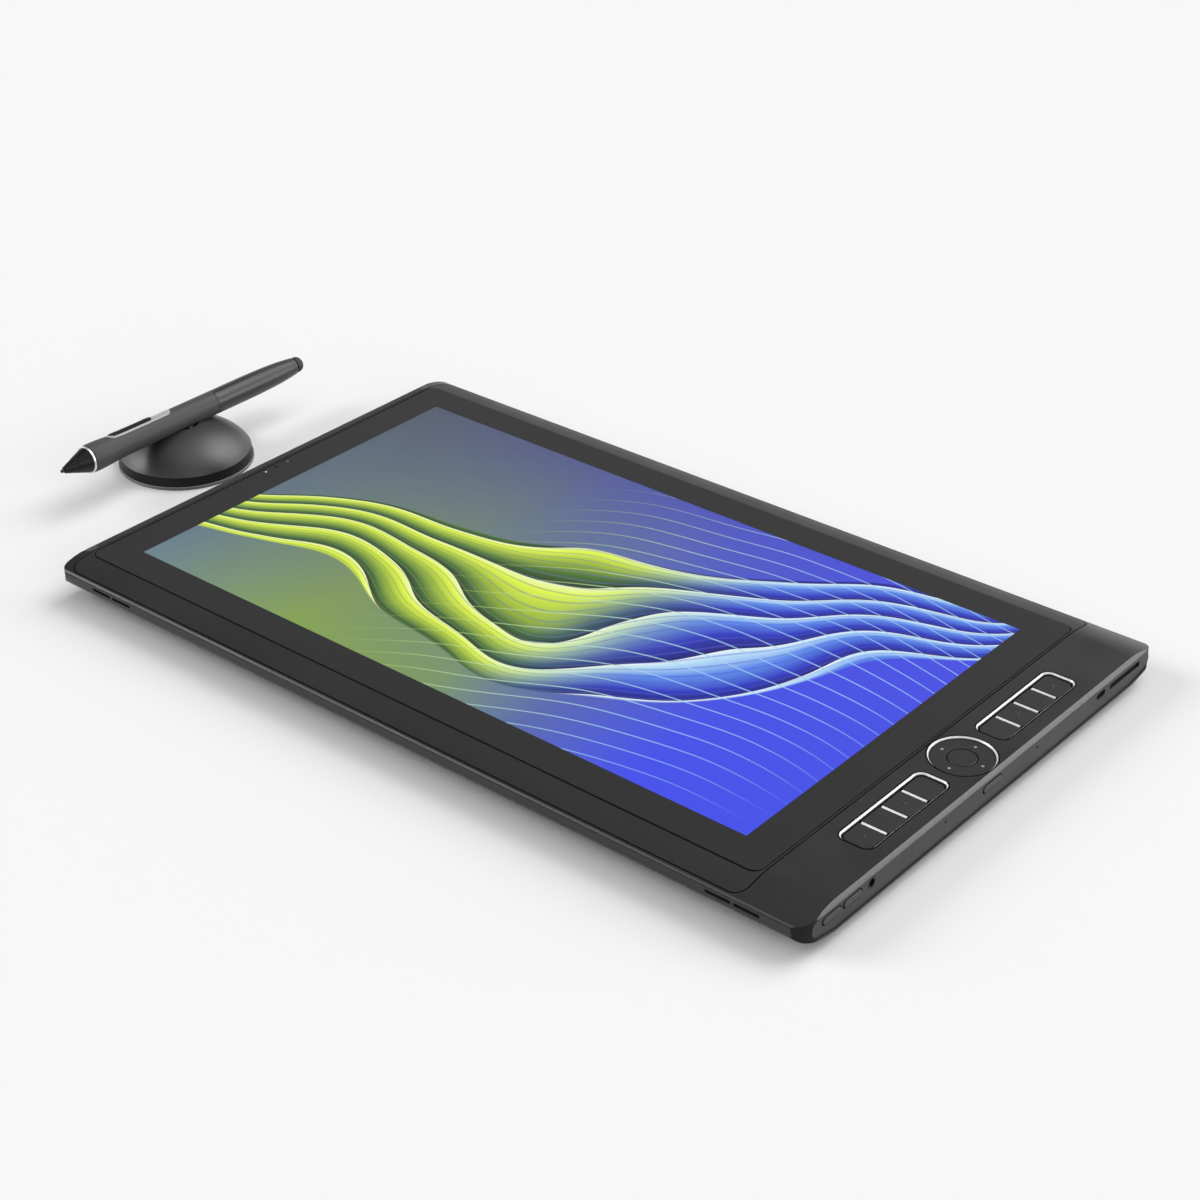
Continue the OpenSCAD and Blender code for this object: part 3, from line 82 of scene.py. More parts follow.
sight = Vector((-math.sin(AZIMUTH) * math.cos(ELEVATION),
                math.cos(AZIMUTH) * math.cos(ELEVATION),
                -math.sin(ELEVATION)))
level = Vector((math.cos(AZIMUTH), math.sin(AZIMUTH), 0))
across = level * math.cos(ROLL) + level.cross(sight) * math.sin(ROLL)
camera = bpy.data.objects.new("camera", bpy.data.cameras.new("camera"))
camera.data.sensor_width = SENSOR_MM
camera.data.lens = LENS_MM
camera.data.clip_end = FARTHEST
camera.matrix_world = Matrix.Translation(EYE) @ Matrix(
    (across, across.cross(sight), -sight)).transposed().to_4x4()
bpy.context.scene.collection.objects.link(camera)
bpy.context.scene.camera = camera
bpy.context.scene.view_settings.view_transform = "Standard"

# Studio
# A pale paper floor in a dim room with a white wall. Soft boxes stand behind, overhead, at both sides
# and low behind the right end, with a weak fill in front. Dark flags tone the flat top and near side.
PAPER = "#f7f7f7"
# The light that the paper throws back on the set is held down, so that undersides stay dark.
BOUNCE = "#3c3c3c"
FLOOR_SIZE = 12
ROOM = 0.09
# The wall shows white where it is looked at, and lights the set less than it shows.
WALL = 0.93
WALL_LIGHT = 0.25
WALL_LOW = 0.26
WALL_TOP = 0.46
FLAG = 0.03
FLAG_AT = (-0.57, 0.41, 0.715)
FLAG_OUTER = 42
FLAG_INNER = 26
# Each box's direction, the outer and inner angle of its soft edge, and its strength.
SOFT_BOXES = {
    "left": ((-0.70, -0.50, 0.51), 21, 10, 5.0),
    "far": ((0.22, 0.68, 0.70), 30, 16, 3.05),
    "overhead": ((0.15, 0.2, 0.97), 40, 24, 0.75),
    "right_end": ((0.741, 0.655, 0.15), 18, 8, 5.0),
    "right": ((0.88, -0.33, 0.34), 22, 11, 1.9),
    "fill": ((0.45, -0.75, 0.48), 50, 20, 0.3),
    "near_flag": ((-0.559, -0.82, 0.12), 24, 12, -0.85)}


def linear(hex_code):
    """The linear colour of an sRGB hex value."""
    channels = [int(hex_code[i:i + 2], 16) / 255 for i in (1, 3, 5)]
    return [c / 12.92 if c <= 0.04045 else ((c + 0.055) / 1.055) ** 2.4 for c in channels] + [1]


def add(tree, kind, settings=(), links=()):
    """Adds a node, sets its sockets and properties, and links inputs, each to one source or several."""
    node = tree.nodes.new(kind)
    for key, value in dict(settings).items():
        if isinstance(key, int) or key in node.inputs:
            node.inputs[key].default_value = value
        else:
            setattr(node, key, value)
    for key, sources in dict(links).items():
        for source in sources if isinstance(sources, tuple) else (sources,):
            tree.links.new(source, node.inputs[key])
    return node


def looked_at(tree):
    """1 where the camera, a mirror or clear glass looks, 0 for light on its way to the set."""
    rays = add(tree, "ShaderNodeLightPath").outputs
    mirrored = add(tree, "ShaderNodeMath", {"operation": "MAXIMUM"}, {
        0: rays["Is Glossy Ray"], 1: rays["Is Transmission Ray"]})
    return add(tree, "ShaderNodeMath", {"operation": "MAXIMUM"}, {
        0: rays["Is Camera Ray"], 1: mirrored.outputs[0]}).outputs[0]


# The paper is cut out between the feet, where only a view from below sees it, to light the underside.
feet_low, feet_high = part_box("rubber_feet")
around = ((-1, -1), (1, -1), (1, 1), (-1, 1))
floor_points = [(x * FLOOR_SIZE / 2, y * FLOOR_SIZE / 2, 0) for x, y in around]
floor_points += [((feet_low if x < 0 else feet_high).x, (feet_low if y < 0 else feet_high).y, 0)
                 for x, y in around]
floor_mesh = bpy.data.meshes.new("floor")
floor_mesh.from_pydata(floor_points, [], [(i, (i + 1) % 4, (i + 1) % 4 + 4, i + 4) for i in range(4)])
floor = bpy.data.objects.new("floor", floor_mesh)
bpy.context.scene.collection.objects.link(floor)
# Uncoated paper scatters light evenly, with no gloss. Seen from below it is clear.
paper = bpy.data.materials.new("matte_paper")
paper.use_nodes = True
tree = paper.node_tree
tree.nodes.clear()
sides = add(tree, "ShaderNodeNewGeometry")
seen_colour = add(tree, "ShaderNodeMix", {"data_type": "RGBA", 6: linear(BOUNCE), 7: linear(PAPER)}, {
    "Factor": looked_at(tree)})
front = add(tree, "ShaderNodeBsdfDiffuse", {}, {"Color": seen_colour.outputs[2]})
behind = add(tree, "ShaderNodeBsdfTransparent")
either = add(tree, "ShaderNodeMixShader", {}, {
    0: sides.outputs["Backfacing"], 1: front.outputs[0], 2: behind.outputs[0]})
add(tree, "ShaderNodeOutputMaterial", {}, {"Surface": either.outputs[0]})
floor_mesh.materials.append(paper)

world = bpy.data.worlds.new("white_room")
bpy.context.scene.world = world
world.use_nodes = True
tree = world.node_tree
tree.nodes.clear()
way = add(tree, "ShaderNodeTexCoord").outputs["Generated"]
height = add(tree, "ShaderNodeSeparateXYZ", {}, {0: way})


def patch(middle, outer, inner, from_value, to_value):
    """A round patch of the room about a direction, fading from its inner to its outer angle."""
    near = add(tree, "ShaderNodeVectorMath", {
        "operation": "DOT_PRODUCT", 1: Vector(middle).normalized()}, {0: way})
    return add(tree, "ShaderNodeMapRange", {
        "interpolation_type": "SMOOTHSTEP", "From Min": math.cos(math.radians(outer)),
        "From Max": math.cos(math.radians(inner)), "To Min": from_value, "To Max": to_value},
        {"Value": near.outputs["Value"]}).outputs["Result"]


above = patch(FLAG_AT, FLAG_OUTER, FLAG_INNER, ROOM, FLAG)
low_wall = add(tree, "ShaderNodeMapRange", {
    "interpolation_type": "SMOOTHSTEP", "From Min": WALL_LOW, "From Max": WALL_TOP,
    "To Min": 1, "To Max": 0}, {"Value": height.outputs["Z"]})
wall = add(tree, "ShaderNodeMapRange", {"To Min": WALL_LIGHT, "To Max": WALL}, {"Value": looked_at(tree)})
room = add(tree, "ShaderNodeMix", {"data_type": "FLOAT"}, {
    "Factor": low_wall.outputs["Result"], "A": above, "B": wall.outputs[0]}).outputs[0]
for box_at, outer, inner, strength in SOFT_BOXES.values():
    room = add(tree, "ShaderNodeMath", {"operation": "ADD"}, {
        0: room, 1: patch(box_at, outer, inner, 0, strength)}).outputs[0]
glow = add(tree, "ShaderNodeBackground", {"Color": linear("#ffffff")}, {"Strength": room})
add(tree, "ShaderNodeOutputWorld", {}, {"Surface": glow.outputs[0]})

# Rear cover
# The tray that holds the board, battery and fans, moulded in glass-filled ABS
# with a fine spark-eroded texture and screwed to the stiffening plate.
MM = 0.001
GRAIN = 0.6 * MM
GRAIN_RELIEF = 0.045 * MM
GRAIN_TINT = 0.34
GRAIN_BUMP = 0.8
HANDLING = 35 * MM
HANDLING_SHEEN = 0.05
NOISE_LOW, NOISE_HIGH = 0.3, 0.7
MERGED = 0.001 * MM
COPLANAR = math.radians(0.3)
slots = {part["node"]: part["material_slot"] for part in frame["record"]["subparts"]}


def moulded_plastic(name, colour, roughness, specular, grain=GRAIN, relief=GRAIN_RELIEF):
    """Moulded in a textured tool: a soft even sheen, broken up by a pebbled grain and faint handling.
    The real grain is about 0.2 mm, drawn coarser here so that it shows."""
    material = bpy.data.materials.new(name)
    material.use_nodes = True
    tree = material.node_tree
    shader = tree.nodes["Principled BSDF"]
    place = add(tree, "ShaderNodeTexCoord").outputs["Object"]
    pebbles = add(tree, "ShaderNodeTexNoise", {"Scale": 1 / grain, "Detail": 2, "Roughness": 0.6},
                  {"Vector": place}).outputs["Fac"]
    hands = add(tree, "ShaderNodeTexNoise", {"Scale": 1 / HANDLING, "Detail": 3},
                {"Vector": place}).outputs["Fac"]
    shade = linear(colour)[:3]
    tint = add(tree, "ShaderNodeMix", {
        "data_type": "RGBA", 6: [(1 - GRAIN_TINT) * c for c in shade] + [1],
        7: [(1 + GRAIN_TINT) * c for c in shade] + [1]}, {"Factor": pebbles})
    tree.links.new(tint.outputs[2], shader.inputs["Base Color"])
    sheen = add(tree, "ShaderNodeMapRange", {
        "From Min": NOISE_LOW, "From Max": NOISE_HIGH,
        "To Min": roughness - HANDLING_SHEEN, "To Max": roughness + HANDLING_SHEEN}, {"Value": hands})
    tree.links.new(sheen.outputs["Result"], shader.inputs["Roughness"])
    bump = add(tree, "ShaderNodeBump", {"Strength": GRAIN_BUMP, "Distance": relief}, {"Height": pebbles})
    tree.links.new(bump.outputs["Normal"], shader.inputs["Normal"])
    shader.inputs["Specular IOR Level"].default_value = specular
    return material


def finish(material, *nodes):
    """Gives CAD nodes, which stay as they are, their finish."""
    for node in nodes:
        frame["nodes"][node].data.materials.clear()
        frame["nodes"][node].data.materials.append(material)


def placed(piece, body, slot, *stands_for):
    """Puts a piece in the scene, on its body. Its slot is not used."""
    bpy.context.scene.collection.objects.link(piece)
    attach(piece, body)
    if stands_for:
        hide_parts(*stands_for)
    return piece


def softened(node, material, edge, segments=2, smooth=30):
    """A copy of a CAD node whose sharp edges are rounded a little, as moulds and tools leave them."""
    source = frame["nodes"][node]
    shape = bmesh.new()
    shape.from_mesh(source.data)
    bmesh.ops.remove_doubles(shape, verts=shape.verts, dist=MERGED)
    if edge:
        bmesh.ops.dissolve_limit(shape, angle_limit=COPLANAR, verts=shape.verts, edges=shape.edges)
    mesh = bpy.data.meshes.new(node + "_edged")
    shape.to_mesh(mesh)
    shape.free()
    mesh.attributes.remove(mesh.attributes["custom_normal"])
    mesh.shade_smooth()
    mesh.set_sharp_from_angle(angle=math.radians(smooth))
    mesh.materials.append(material)
    piece = bpy.data.objects.new(node + "_edged", mesh)
    if edge:
        rounding = piece.modifiers.new("rounded_edges", "BEVEL")
        rounding.width = edge
        rounding.segments = segments
        rounding.limit_method = "ANGLE"
        rounding.angle_limit = math.radians(smooth)
        rounding.miter_outer = "MITER_ARC"
    flats = piece.modifiers.new("flat_faces_shade_flat", "WEIGHTED_NORMAL")
    flats.weight = 100
    flats.keep_sharp = True
    return placed(piece, body_of(source)[0], slots[node], node)


def refaced(piece, material, chosen):
    """Gives the faces of a piece that pass a test another finish."""
    piece.data.materials.append(material)
    for face in piece.data.polygons:
        if chosen(face.normal, face.center):
            face.material_index = len(piece.data.materials) - 1


# The deep texture leaves no clear reflection, only a grey bloom.
rear_plastic = moulded_plastic("spark_eroded_abs_rear", "#303032", 0.55, 0.3)
rear = softened("rear_cover", rear_plastic, 0)

# Feet
# Four long pads of black rubber, die-cut from sheet with slightly rounded edges.
# They are glued into shallow pockets of the rear cover.
FOOT_GRAIN = 1.4 * MM
# Dull and dark, with the coarse skin of the sheet.
foot_rubber = moulded_plastic("cut_sheet_rubber", "#1a1a1b", 0.85, 0.2, grain=FOOT_GRAIN)
softened("rubber_feet", foot_rubber, 0.3 * MM)

# Cover screws
# Six flat-headed steel screws, turned and blackened, with a pressed six-lobed recess.
# They are driven from below through the rear cover's posts into the stiffening plate.
SCREW_HEAD_R = 2.2 * MM
SCREW_HEAD_H = 0.8 * MM
SCREW_THREAD_R = 1.1 * MM
SCREW_THREAD_L = 6.2 * MM
RECESS_R = 1.25 * MM
RECESS_DEPTH = 0.5 * MM
LOBES = 6
LOBE_ROOT = 0.68
LOBE_ROUND = 0.16
POST_ROW_X = (-139.86 * MM, -54.86 * MM)
POST_ROW_Y = -4.1 * MM
EDGE_POST_X = (55.6 * MM, 132.06 * MM)
MARK_TINT = (0.88, 1.08)
MARK_SHEEN = (0.8, 1.2)
MARK_RELIEF = 0.004 * MM
MARK_BUMP = 0.4
glass_low, glass_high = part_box("cover_glass")
screen_x = (glass_low.x + glass_high.x) / 2
screw_low, screw_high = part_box("cover_screws")


def worked_metal(name, colour, roughness, marks, relief=MARK_RELIEF, metallic=1):
    """Bare or plated metal: a clear reflection, broken along the marks of the tool that worked it.
    marks is the length of a mark along X, Y and Z, drawn coarser than the real ones so that it shows."""
    material = bpy.data.materials.new(name)
    material.use_nodes = True
    tree = material.node_tree
    shader = tree.nodes["Principled BSDF"]
    shader.inputs["Metallic"].default_value = metallic
    drawn = add(tree, "ShaderNodeMapping", {"Scale": [1 / length for length in marks]},
                {"Vector": add(tree, "ShaderNodeTexCoord").outputs["Object"]})
    lines = add(tree, "ShaderNodeTexNoise", {"Scale": 1, "Detail": 3},
                {"Vector": drawn.outputs[0]}).outputs["Fac"]
    shade = linear(colour)[:3]
    tint = add(tree, "ShaderNodeMix", {
        "data_type": "RGBA", 6: [MARK_TINT[0] * c for c in shade] + [1],
        7: [min(1, MARK_TINT[1] * c) for c in shade] + [1]}, {"Factor": lines})
    tree.links.new(tint.outputs[2], shader.inputs["Base Color"])
    sheen = add(tree, "ShaderNodeMapRange", {
        "From Min": NOISE_LOW, "From Max": NOISE_HIGH,
        "To Min": MARK_SHEEN[0] * roughness, "To Max": MARK_SHEEN[1] * roughness}, {"Value": lines})
    tree.links.new(sheen.outputs["Result"], shader.inputs["Roughness"])
    bump = add(tree, "ShaderNodeBump", {"Strength": MARK_BUMP, "Distance": relief}, {"Height": lines})
    tree.links.new(bump.outputs["Normal"], shader.inputs["Normal"])
    return material


def growing_tree(name, **sizes):
    """An empty Geometry Nodes tree with named inputs, and the outlets of those inputs."""
    tree = bpy.data.node_groups.new(name, "GeometryNodeTree")
    tree.interface.new_socket("Geometry", in_out="OUTPUT", socket_type="NodeSocketGeometry")
    for label, kind in {"points": "Geometry", **sizes, "metal": "Material"}.items():
        tree.interface.new_socket(label, in_out="INPUT", socket_type="NodeSocket" + kind)
    return tree, add(tree, "NodeGroupInput").outputs


def close_tree(tree, inlets, geometry):
    """Ends a tree: instances made real, with their finish."""
    real = add(tree, "GeometryNodeRealizeInstances", {}, {0: geometry})
    dressed = add(tree, "GeometryNodeSetMaterial", {}, {0: real.outputs[0], "Material": inlets["metal"]})
    add(tree, "NodeGroupOutput", {}, {0: dressed.outputs[0]})


def grown(name, points, tree, **values):
    """Runs a tree over points, and keeps what it makes as one plain mesh."""
    mesh = bpy.data.meshes.new(name)
    mesh.from_pydata(points, [], [])
    piece = bpy.data.objects.new(name, mesh)
    bpy.context.scene.collection.objects.link(piece)
    growth = piece.modifiers.new(tree.name, "NODES")
    growth.node_group = tree
    for item in tree.interface.items_tree:
        if item.name in values:
            growth[item.identifier] = values[item.name]
    made = bpy.data.meshes.new_from_object(piece.evaluated_get(bpy.context.evaluated_depsgraph_get()))
    piece.modifiers.remove(growth)
    piece.data = made
    made.name = name
    bpy.context.scene.collection.objects.unlink(piece)
    return piece


tree, inlets = growing_tree("lobed_screws", head_r="Float", head_h="Float", thread_r="Float",
                            thread_l="Float", recess_r="Float", recess_depth="Float")
rim = add(tree, "GeometryNodeCurvePrimitiveCircle", {"Resolution": 32},
          {"Radius": inlets["head_r"]}).outputs[0]
lobe_root = add(tree, "ShaderNodeMath", {"operation": "MULTIPLY", 1: LOBE_ROOT}, {0: inlets["recess_r"]})
star = add(tree, "GeometryNodeCurveStar", {"Points": LOBES}, {
    "Inner Radius": lobe_root.outputs[0], "Outer Radius": inlets["recess_r"]}).outputs[0]
lobe_round = add(tree, "ShaderNodeMath", {"operation": "MULTIPLY", 1: LOBE_ROUND}, {0: inlets["recess_r"]})
lobes = add(tree, "GeometryNodeFilletCurve", {"mode": "POLY", "Count": 3}, {
    "Curve": star, "Radius": lobe_round.outputs[0]}).outputs[0]
disc = add(tree, "GeometryNodeFillCurve", {"mode": "NGONS"}, {"Curve": rim}).outputs[0]
head = add(tree, "GeometryNodeExtrudeMesh", {"Offset": (0, 0, 1), "Individual": False}, {
    "Mesh": disc, "Offset Scale": inlets["head_h"]}).outputs["Mesh"]
pit = add(tree, "GeometryNodeFillCurve", {"mode": "NGONS"}, {"Curve": lobes}).outputs[0]
recess = add(tree, "GeometryNodeExtrudeMesh", {"Offset": (0, 0, 1), "Individual": False}, {
    "Mesh": pit, "Offset Scale": inlets["recess_depth"]}).outputs["Mesh"]
outlines = add(tree, "GeometryNodeJoinGeometry", {}, {0: (rim, lobes)}).outputs[0]
face = add(tree, "GeometryNodeFillCurve", {"mode": "TRIANGLES"}, {"Curve": outlines}).outputs[0]
pitted = add(tree, "GeometryNodeJoinGeometry", {}, {0: (recess, face)}).outputs[0]
inner = add(tree, "GeometryNodeFlipFaces", {}, {0: pitted}).outputs[0]
whole_head = add(tree, "GeometryNodeJoinGeometry", {}, {0: (head, inner)}).outputs[0]
closed = add(tree, "GeometryNodeMergeByDistance", {"Distance": MERGED}, {0: whole_head}).outputs[0]
thread = add(tree, "GeometryNodeMeshCylinder", {"Vertices": 20}, {
    "Radius": inlets["thread_r"], "Depth": inlets["thread_l"]}).outputs["Mesh"]
thread_z = add(tree, "ShaderNodeMath", {"operation": "MULTIPLY_ADD", 1: 0.5}, {
    0: inlets["thread_l"], 2: inlets["head_h"]})
lift = add(tree, "ShaderNodeCombineXYZ", {}, {"Z": thread_z.outputs[0]})
shank = add(tree, "GeometryNodeTransform", {}, {
    "Geometry": thread, "Translation": lift.outputs[0]}).outputs[0]
screw = add(tree, "GeometryNodeJoinGeometry", {}, {0: (closed, shank)}).outputs[0]
screws = add(tree, "GeometryNodeInstanceOnPoints", {}, {"Points": inlets["points"], "Instance": screw})
close_tree(tree, inlets, screws.outputs[0])
# Oxide on steel: a dark grey gleam, faintly mottled.
screw_steel = worked_metal("blackened_steel", "#55565a", 0.35, (0.4 * MM,) * 3)
edge_post_y = (screw_low.y + SCREW_HEAD_R, screw_high.y - SCREW_HEAD_R)
screw_points = [(screen_x + x, POST_ROW_Y, screw_low.z) for x in POST_ROW_X]
screw_points += [(screen_x + x, y, screw_low.z) for x in EDGE_POST_X for y in edge_post_y]
placed(grown("lobed_cover_screws", screw_points, tree, head_r=SCREW_HEAD_R, head_h=SCREW_HEAD_H,
             thread_r=SCREW_THREAD_R, thread_l=SCREW_THREAD_L, recess_r=RECESS_R,
             recess_depth=RECESS_DEPTH, metal=screw_steel), "tablet", slots["cover_screws"], "cover_screws")

# Boards
# The main board, the pen sensor, the key board and the small switch and port boards:
# glass-epoxy under green solder mask, held by posts, arms and ribs of the housings.
TRACE_PITCH = 1.6 * MM
TRACE_FIELD = 14 * MM
# Glossy green lacquer, with lighter lines where copper tracks lie under it.
board_epoxy = moulded_plastic("solder_mask_on_glass_epoxy", "#1f5a34", 0.4, 0.5, grain=2.5 * MM)
tree = board_epoxy.node_tree
place = add(tree, "ShaderNodeTexCoord").outputs["Object"]
runs = add(tree, "ShaderNodeTexWave", {
    "bands_direction": "DIAGONAL", "Scale": 2 * math.pi / (20 * TRACE_PITCH), "Distortion": 0.4},
    {"Vector": place})
routed = add(tree, "ShaderNodeTexVoronoi", {"Scale": 1 / TRACE_FIELD}, {"Vector": place})
traces = add(tree, "ShaderNodeMath", {"operation": "GREATER_THAN"}, {
    0: runs.outputs["Fac"], 1: routed.outputs["Color"]})
shader = tree.nodes["Principled BSDF"]
mask = add(tree, "ShaderNodeMix", {"data_type": "RGBA", 7: linear("#2f7a48")}, {
    "Factor": traces.outputs[0], 6: shader.inputs["Base Color"].links[0].from_socket})
tree.links.new(mask.outputs[2], shader.inputs["Base Color"])
finish(board_epoxy, "sensor_board", "key_board", "main_board", "side_switches", "usb_board")

# Battery and storage
# Three pouch cells shrunk into black film and stuck to the rear cover,
# and a card of memory chips that plugs into the main board.
FILM_WRINKLE = 9 * MM
# Tight film: a dark gloss that rises and falls in broad shallow wrinkles.
cell_film = moulded_plastic("heat_shrunk_film", "#2c2c30", 0.4, 0.5, grain=FILM_WRINKLE, relief=0.3 * MM)
finish(cell_film, "battery_pack", "storage_module")

# Cooling
# A flattened copper heat pipe with soldered fins, and two fans moulded in black PBT
# that stand on the rear cover. The pen's coil core has the same copper.

# Drawn metal: a warm bright reflection, streaked along the pipe.
copper = worked_metal("drawn_copper", "#b8774a", 0.3, (12 * MM, 0.8 * MM, 0.8 * MM))
finish(copper, "heat_sink", "pen_core")
# A plain dark engineering plastic with a low sheen.
fan_plastic = moulded_plastic("moulded_pbt", "#1b1b1d", 0.5, 0.4)
finish(fan_plastic, "fan_housings", "left_fan_rotor", "right_fan_rotor")

# Display, stiffening plate and sound
# The panel hangs on a pressed aluminium sheet. Boxed speakers and two small microphones
# are clipped into the housings; the ports' shells are pressed from the same sheet.

# Rolled sheet: a grey reflection drawn out along the rolling.
plate_metal = worked_metal("pressed_aluminium", "#b0b2b4", 0.4, (20 * MM, 0.6 * MM, 0.6 * MM))
finish(plate_metal, "chassis_plate", "card_reader", "lock_plate", "usb_ports")
# Unpainted black boxes that take little light.
sound_plastic = moulded_plastic("moulded_speaker_box", "#17171a", 0.6, 0.35)
finish(sound_plastic, "speakers", "microphones")
# The unlit face of a panel: near black and smooth.
panel_film = moulded_plastic("display_panel_film", "#18181c", 0.3, 0.5)
finish(panel_film, "display_panel")

# Top housing
# The visible frame of the tablet with its drooping long sides and the key strip,
# moulded in textured ABS in one piece and clipped to the rear cover.
CHAMFER_WAY = Vector((2, 0, 1)).normalized()
CHAMFER_MATCH = 0.99
CORNER_OUT = 0.25
CORNER_ASIDE = 0.1
CORNER_UP = 0.5
SMOOTH_RELIEF = 0.01 * MM
# Fine texture: dark and even from above, with a soft light band along each curved shoulder.
top_plastic = moulded_plastic("spark_eroded_abs_top", "#2c2c2d", 0.34, 0.5)
housing = softened("top_housing", top_plastic, 0)
# The tool leaves the cut edge smooth, so it shows as a sharper line. Its lighter grey is a painted
# highlight along the end.
chamfer_painted_highlight = moulded_plastic("cut_abs_painted_highlight", "#5c5c5f", 0.28, 0.5, relief=SMOOTH_RELIEF)
refaced(housing, chamfer_painted_highlight, lambda normal, _: normal.dot(CHAMFER_WAY) > CHAMFER_MATCH)
# The upright corner faces are painted near black with a low gloss, as painted shade beside the texture.
corner_painted_shade = moulded_plastic("abs_corner_painted_shade", "#101011", 0.35, 0.2, relief=SMOOTH_RELIEF)


def in_corner(normal, _):
    """Whether a face stands upright in a corner between a long side and the end plate."""
    return normal.x > CORNER_OUT and abs(normal.y) > CORNER_ASIDE and normal.z < CORNER_UP


for cover in (housing, rear):
    refaced(cover, corner_painted_shade, in_corner)

# Front bezel
# A moulded frame round the glass in the housing's texture, screwed on from behind,
# with its upright sides painted black, as painted shade in the joint.
UPRIGHT = 0.1
# As the housing, but duller, so that the frame and the glass border read as one dark field.
bezel_plastic = moulded_plastic("spark_eroded_abs_bezel", "#2e2e2f", 0.45, 0.32)
bezel = softened("front_bezel", bezel_plastic, 0)
# The upright walls are painted black, so the joint shows as a thin line of painted shade.
joint_painted_shade = moulded_plastic("painted_shade_black", "#060607", 0.9, 0.1)
refaced(bezel, joint_painted_shade, lambda normal, _: abs(normal.z) < UPRIGHT)

# Cover glass
# One etched sheet over the whole display, printed dark behind its border and ground at its edge.
# The panel is bonded to it, so its lit picture shows at the glass itself.
PICTURE_W = 345.4 * MM
PICTURE_H = 194.3 * MM
GLASS_CORNER = 4.5 * MM
GLASS_CHAMFER = 0.12 * MM
CORNER_STEPS = 12
ETCHING = 1.2 * MM

# Etching blurs all reflections evenly, with a faint sparkle. The real pits are far finer than these.
etched_glass = bpy.data.materials.new("etched_glass_over_dark_print")
etched_glass.use_nodes = True
tree = etched_glass.node_tree
shader = tree.nodes["Principled BSDF"]
etching = add(tree, "ShaderNodeTexNoise", {"Scale": 1 / ETCHING, "Detail": 1},
              {"Vector": add(tree, "ShaderNodeTexCoord").outputs["Object"]}).outputs["Fac"]
blur = add(tree, "ShaderNodeMapRange", {"To Min": 0.38, "To Max": 0.46}, {"Value": etching})
tree.links.new(blur.outputs["Result"], shader.inputs["Roughness"])
print_tint = add(tree, "ShaderNodeMix", {"data_type": "RGBA", 6: linear("#232324"), 7: linear("#29292a")},
                 {"Factor": etching})
tree.links.new(print_tint.outputs[2], shader.inputs["Base Color"])
shader.inputs["Specular IOR Level"].default_value = 0.35
# Grinding leaves the edge dull and dark.
ground_edge = moulded_plastic("ground_glass_edge", "#101012", 0.6, 0.3)

# The picture is a generic sweep of folded sheets and fine strands over a soft gradient.
# Its lengths are shares of the picture's width, and each row of these tables feeds later ones by name.
SWEEP_TURN = math.radians(-24)
SLOW_SCALE = 2.4
PICTURE_GLOW = 0.35
PICTURE_DIM = 0.6
SUMS = (
    ("phase", "MULTIPLY_ADD", "x", 6.0, 0.9),
    ("wave", "SINE", "phase"),
    ("drift", "MULTIPLY_ADD", "slow", 0.26, "y"),
    ("bent", "MULTIPLY_ADD", "wave", 0.075, "drift"),
    ("fold", "ADD", "bent", -0.13),
    ("swell_phase", "MULTIPLY_ADD", "x", 4.0, 1.2),
    ("swell", "SINE", "swell_phase"),
    ("width", "MULTIPLY_ADD", "swell", 0.045, 0.095),
    ("depth", "DIVIDE", "fold", "width"),
    ("aside", "ABSOLUTE", "depth"),
    ("layer_drift", "MULTIPLY", "slow", 2.0),
    ("layers", "MULTIPLY_ADD", "depth", 2.2, "layer_drift"),
    ("layer", "FRACT", "layers"),
    ("strand_drift", "MULTIPLY", "slow", 12.0),
    ("strands", "MULTIPLY_ADD", "depth", 26.0, "strand_drift"),
    ("strand", "PINGPONG", "strands", 1.0),
    ("bow", "MULTIPLY", "x", "x"),
    ("arc_drift", "MULTIPLY_ADD", "slow", 0.1, "y"),
    ("arc", "MULTIPLY_ADD", "bow", 0.7, "arc_drift"),
    ("arcs", "MULTIPLY", "arc", 62.0),
    ("line", "PINGPONG", "arcs", 1.0))
SOFT_STEPS = (
    ("sheet", "aside", 1.02, 0.98, 1.0),
    ("blue_end", "along", 0.5, 0.72, 1.0),
    ("strand_share", "strand", 0.3, 0.05, 0.5),
    ("thin_line", "line", 0.1, 0.03, 1.0),
    ("line_end", "along", 0.3, 0.6, 0.75),
    ("line_side", "aside", 3.4, 1.2, 1.0))
COLOUR_RUNS = (
    ("near_ground", "along", (0, "#6b8391"), (0.28, "#88a552"), (0.52, "#7d9a66"), (0.66, "#5a6cb0"),
     (0.82, "#4450f0")),
    ("far_ground", "along", (0, "#525a6c"), (0.3, "#545c90"), (0.6, "#4a52cc"), (0.9, "#444ce4")),
    ("leaf", "layer", (0, "#20361c"), (0.22, "#4a7432"), (0.55, "#a9c63c"), (0.86, "#e9ff4e"),
     (1, "#f6ffc4")),
    ("silk", "layer", (0, "#171a70"), (0.3, "#2c36c4"), (0.7, "#5f8ff0"), (0.92, "#bfe6ff"),
     (1, "#f2fbff")),
    ("line_colour", "along", (0.4, "#d8f070"), (0.75, "#a8d4ff")))
MIXES = (
    ("ground", "far", "near_ground", "far_ground"),
    ("folds", "blue_end", "leaf", "silk"),
    ("stranded", "strand_share", "folds", "ground"),
    ("sheeted", "sheet", "ground", "stranded"),
    ("picture", "line_share", "sheeted", "line_colour"))

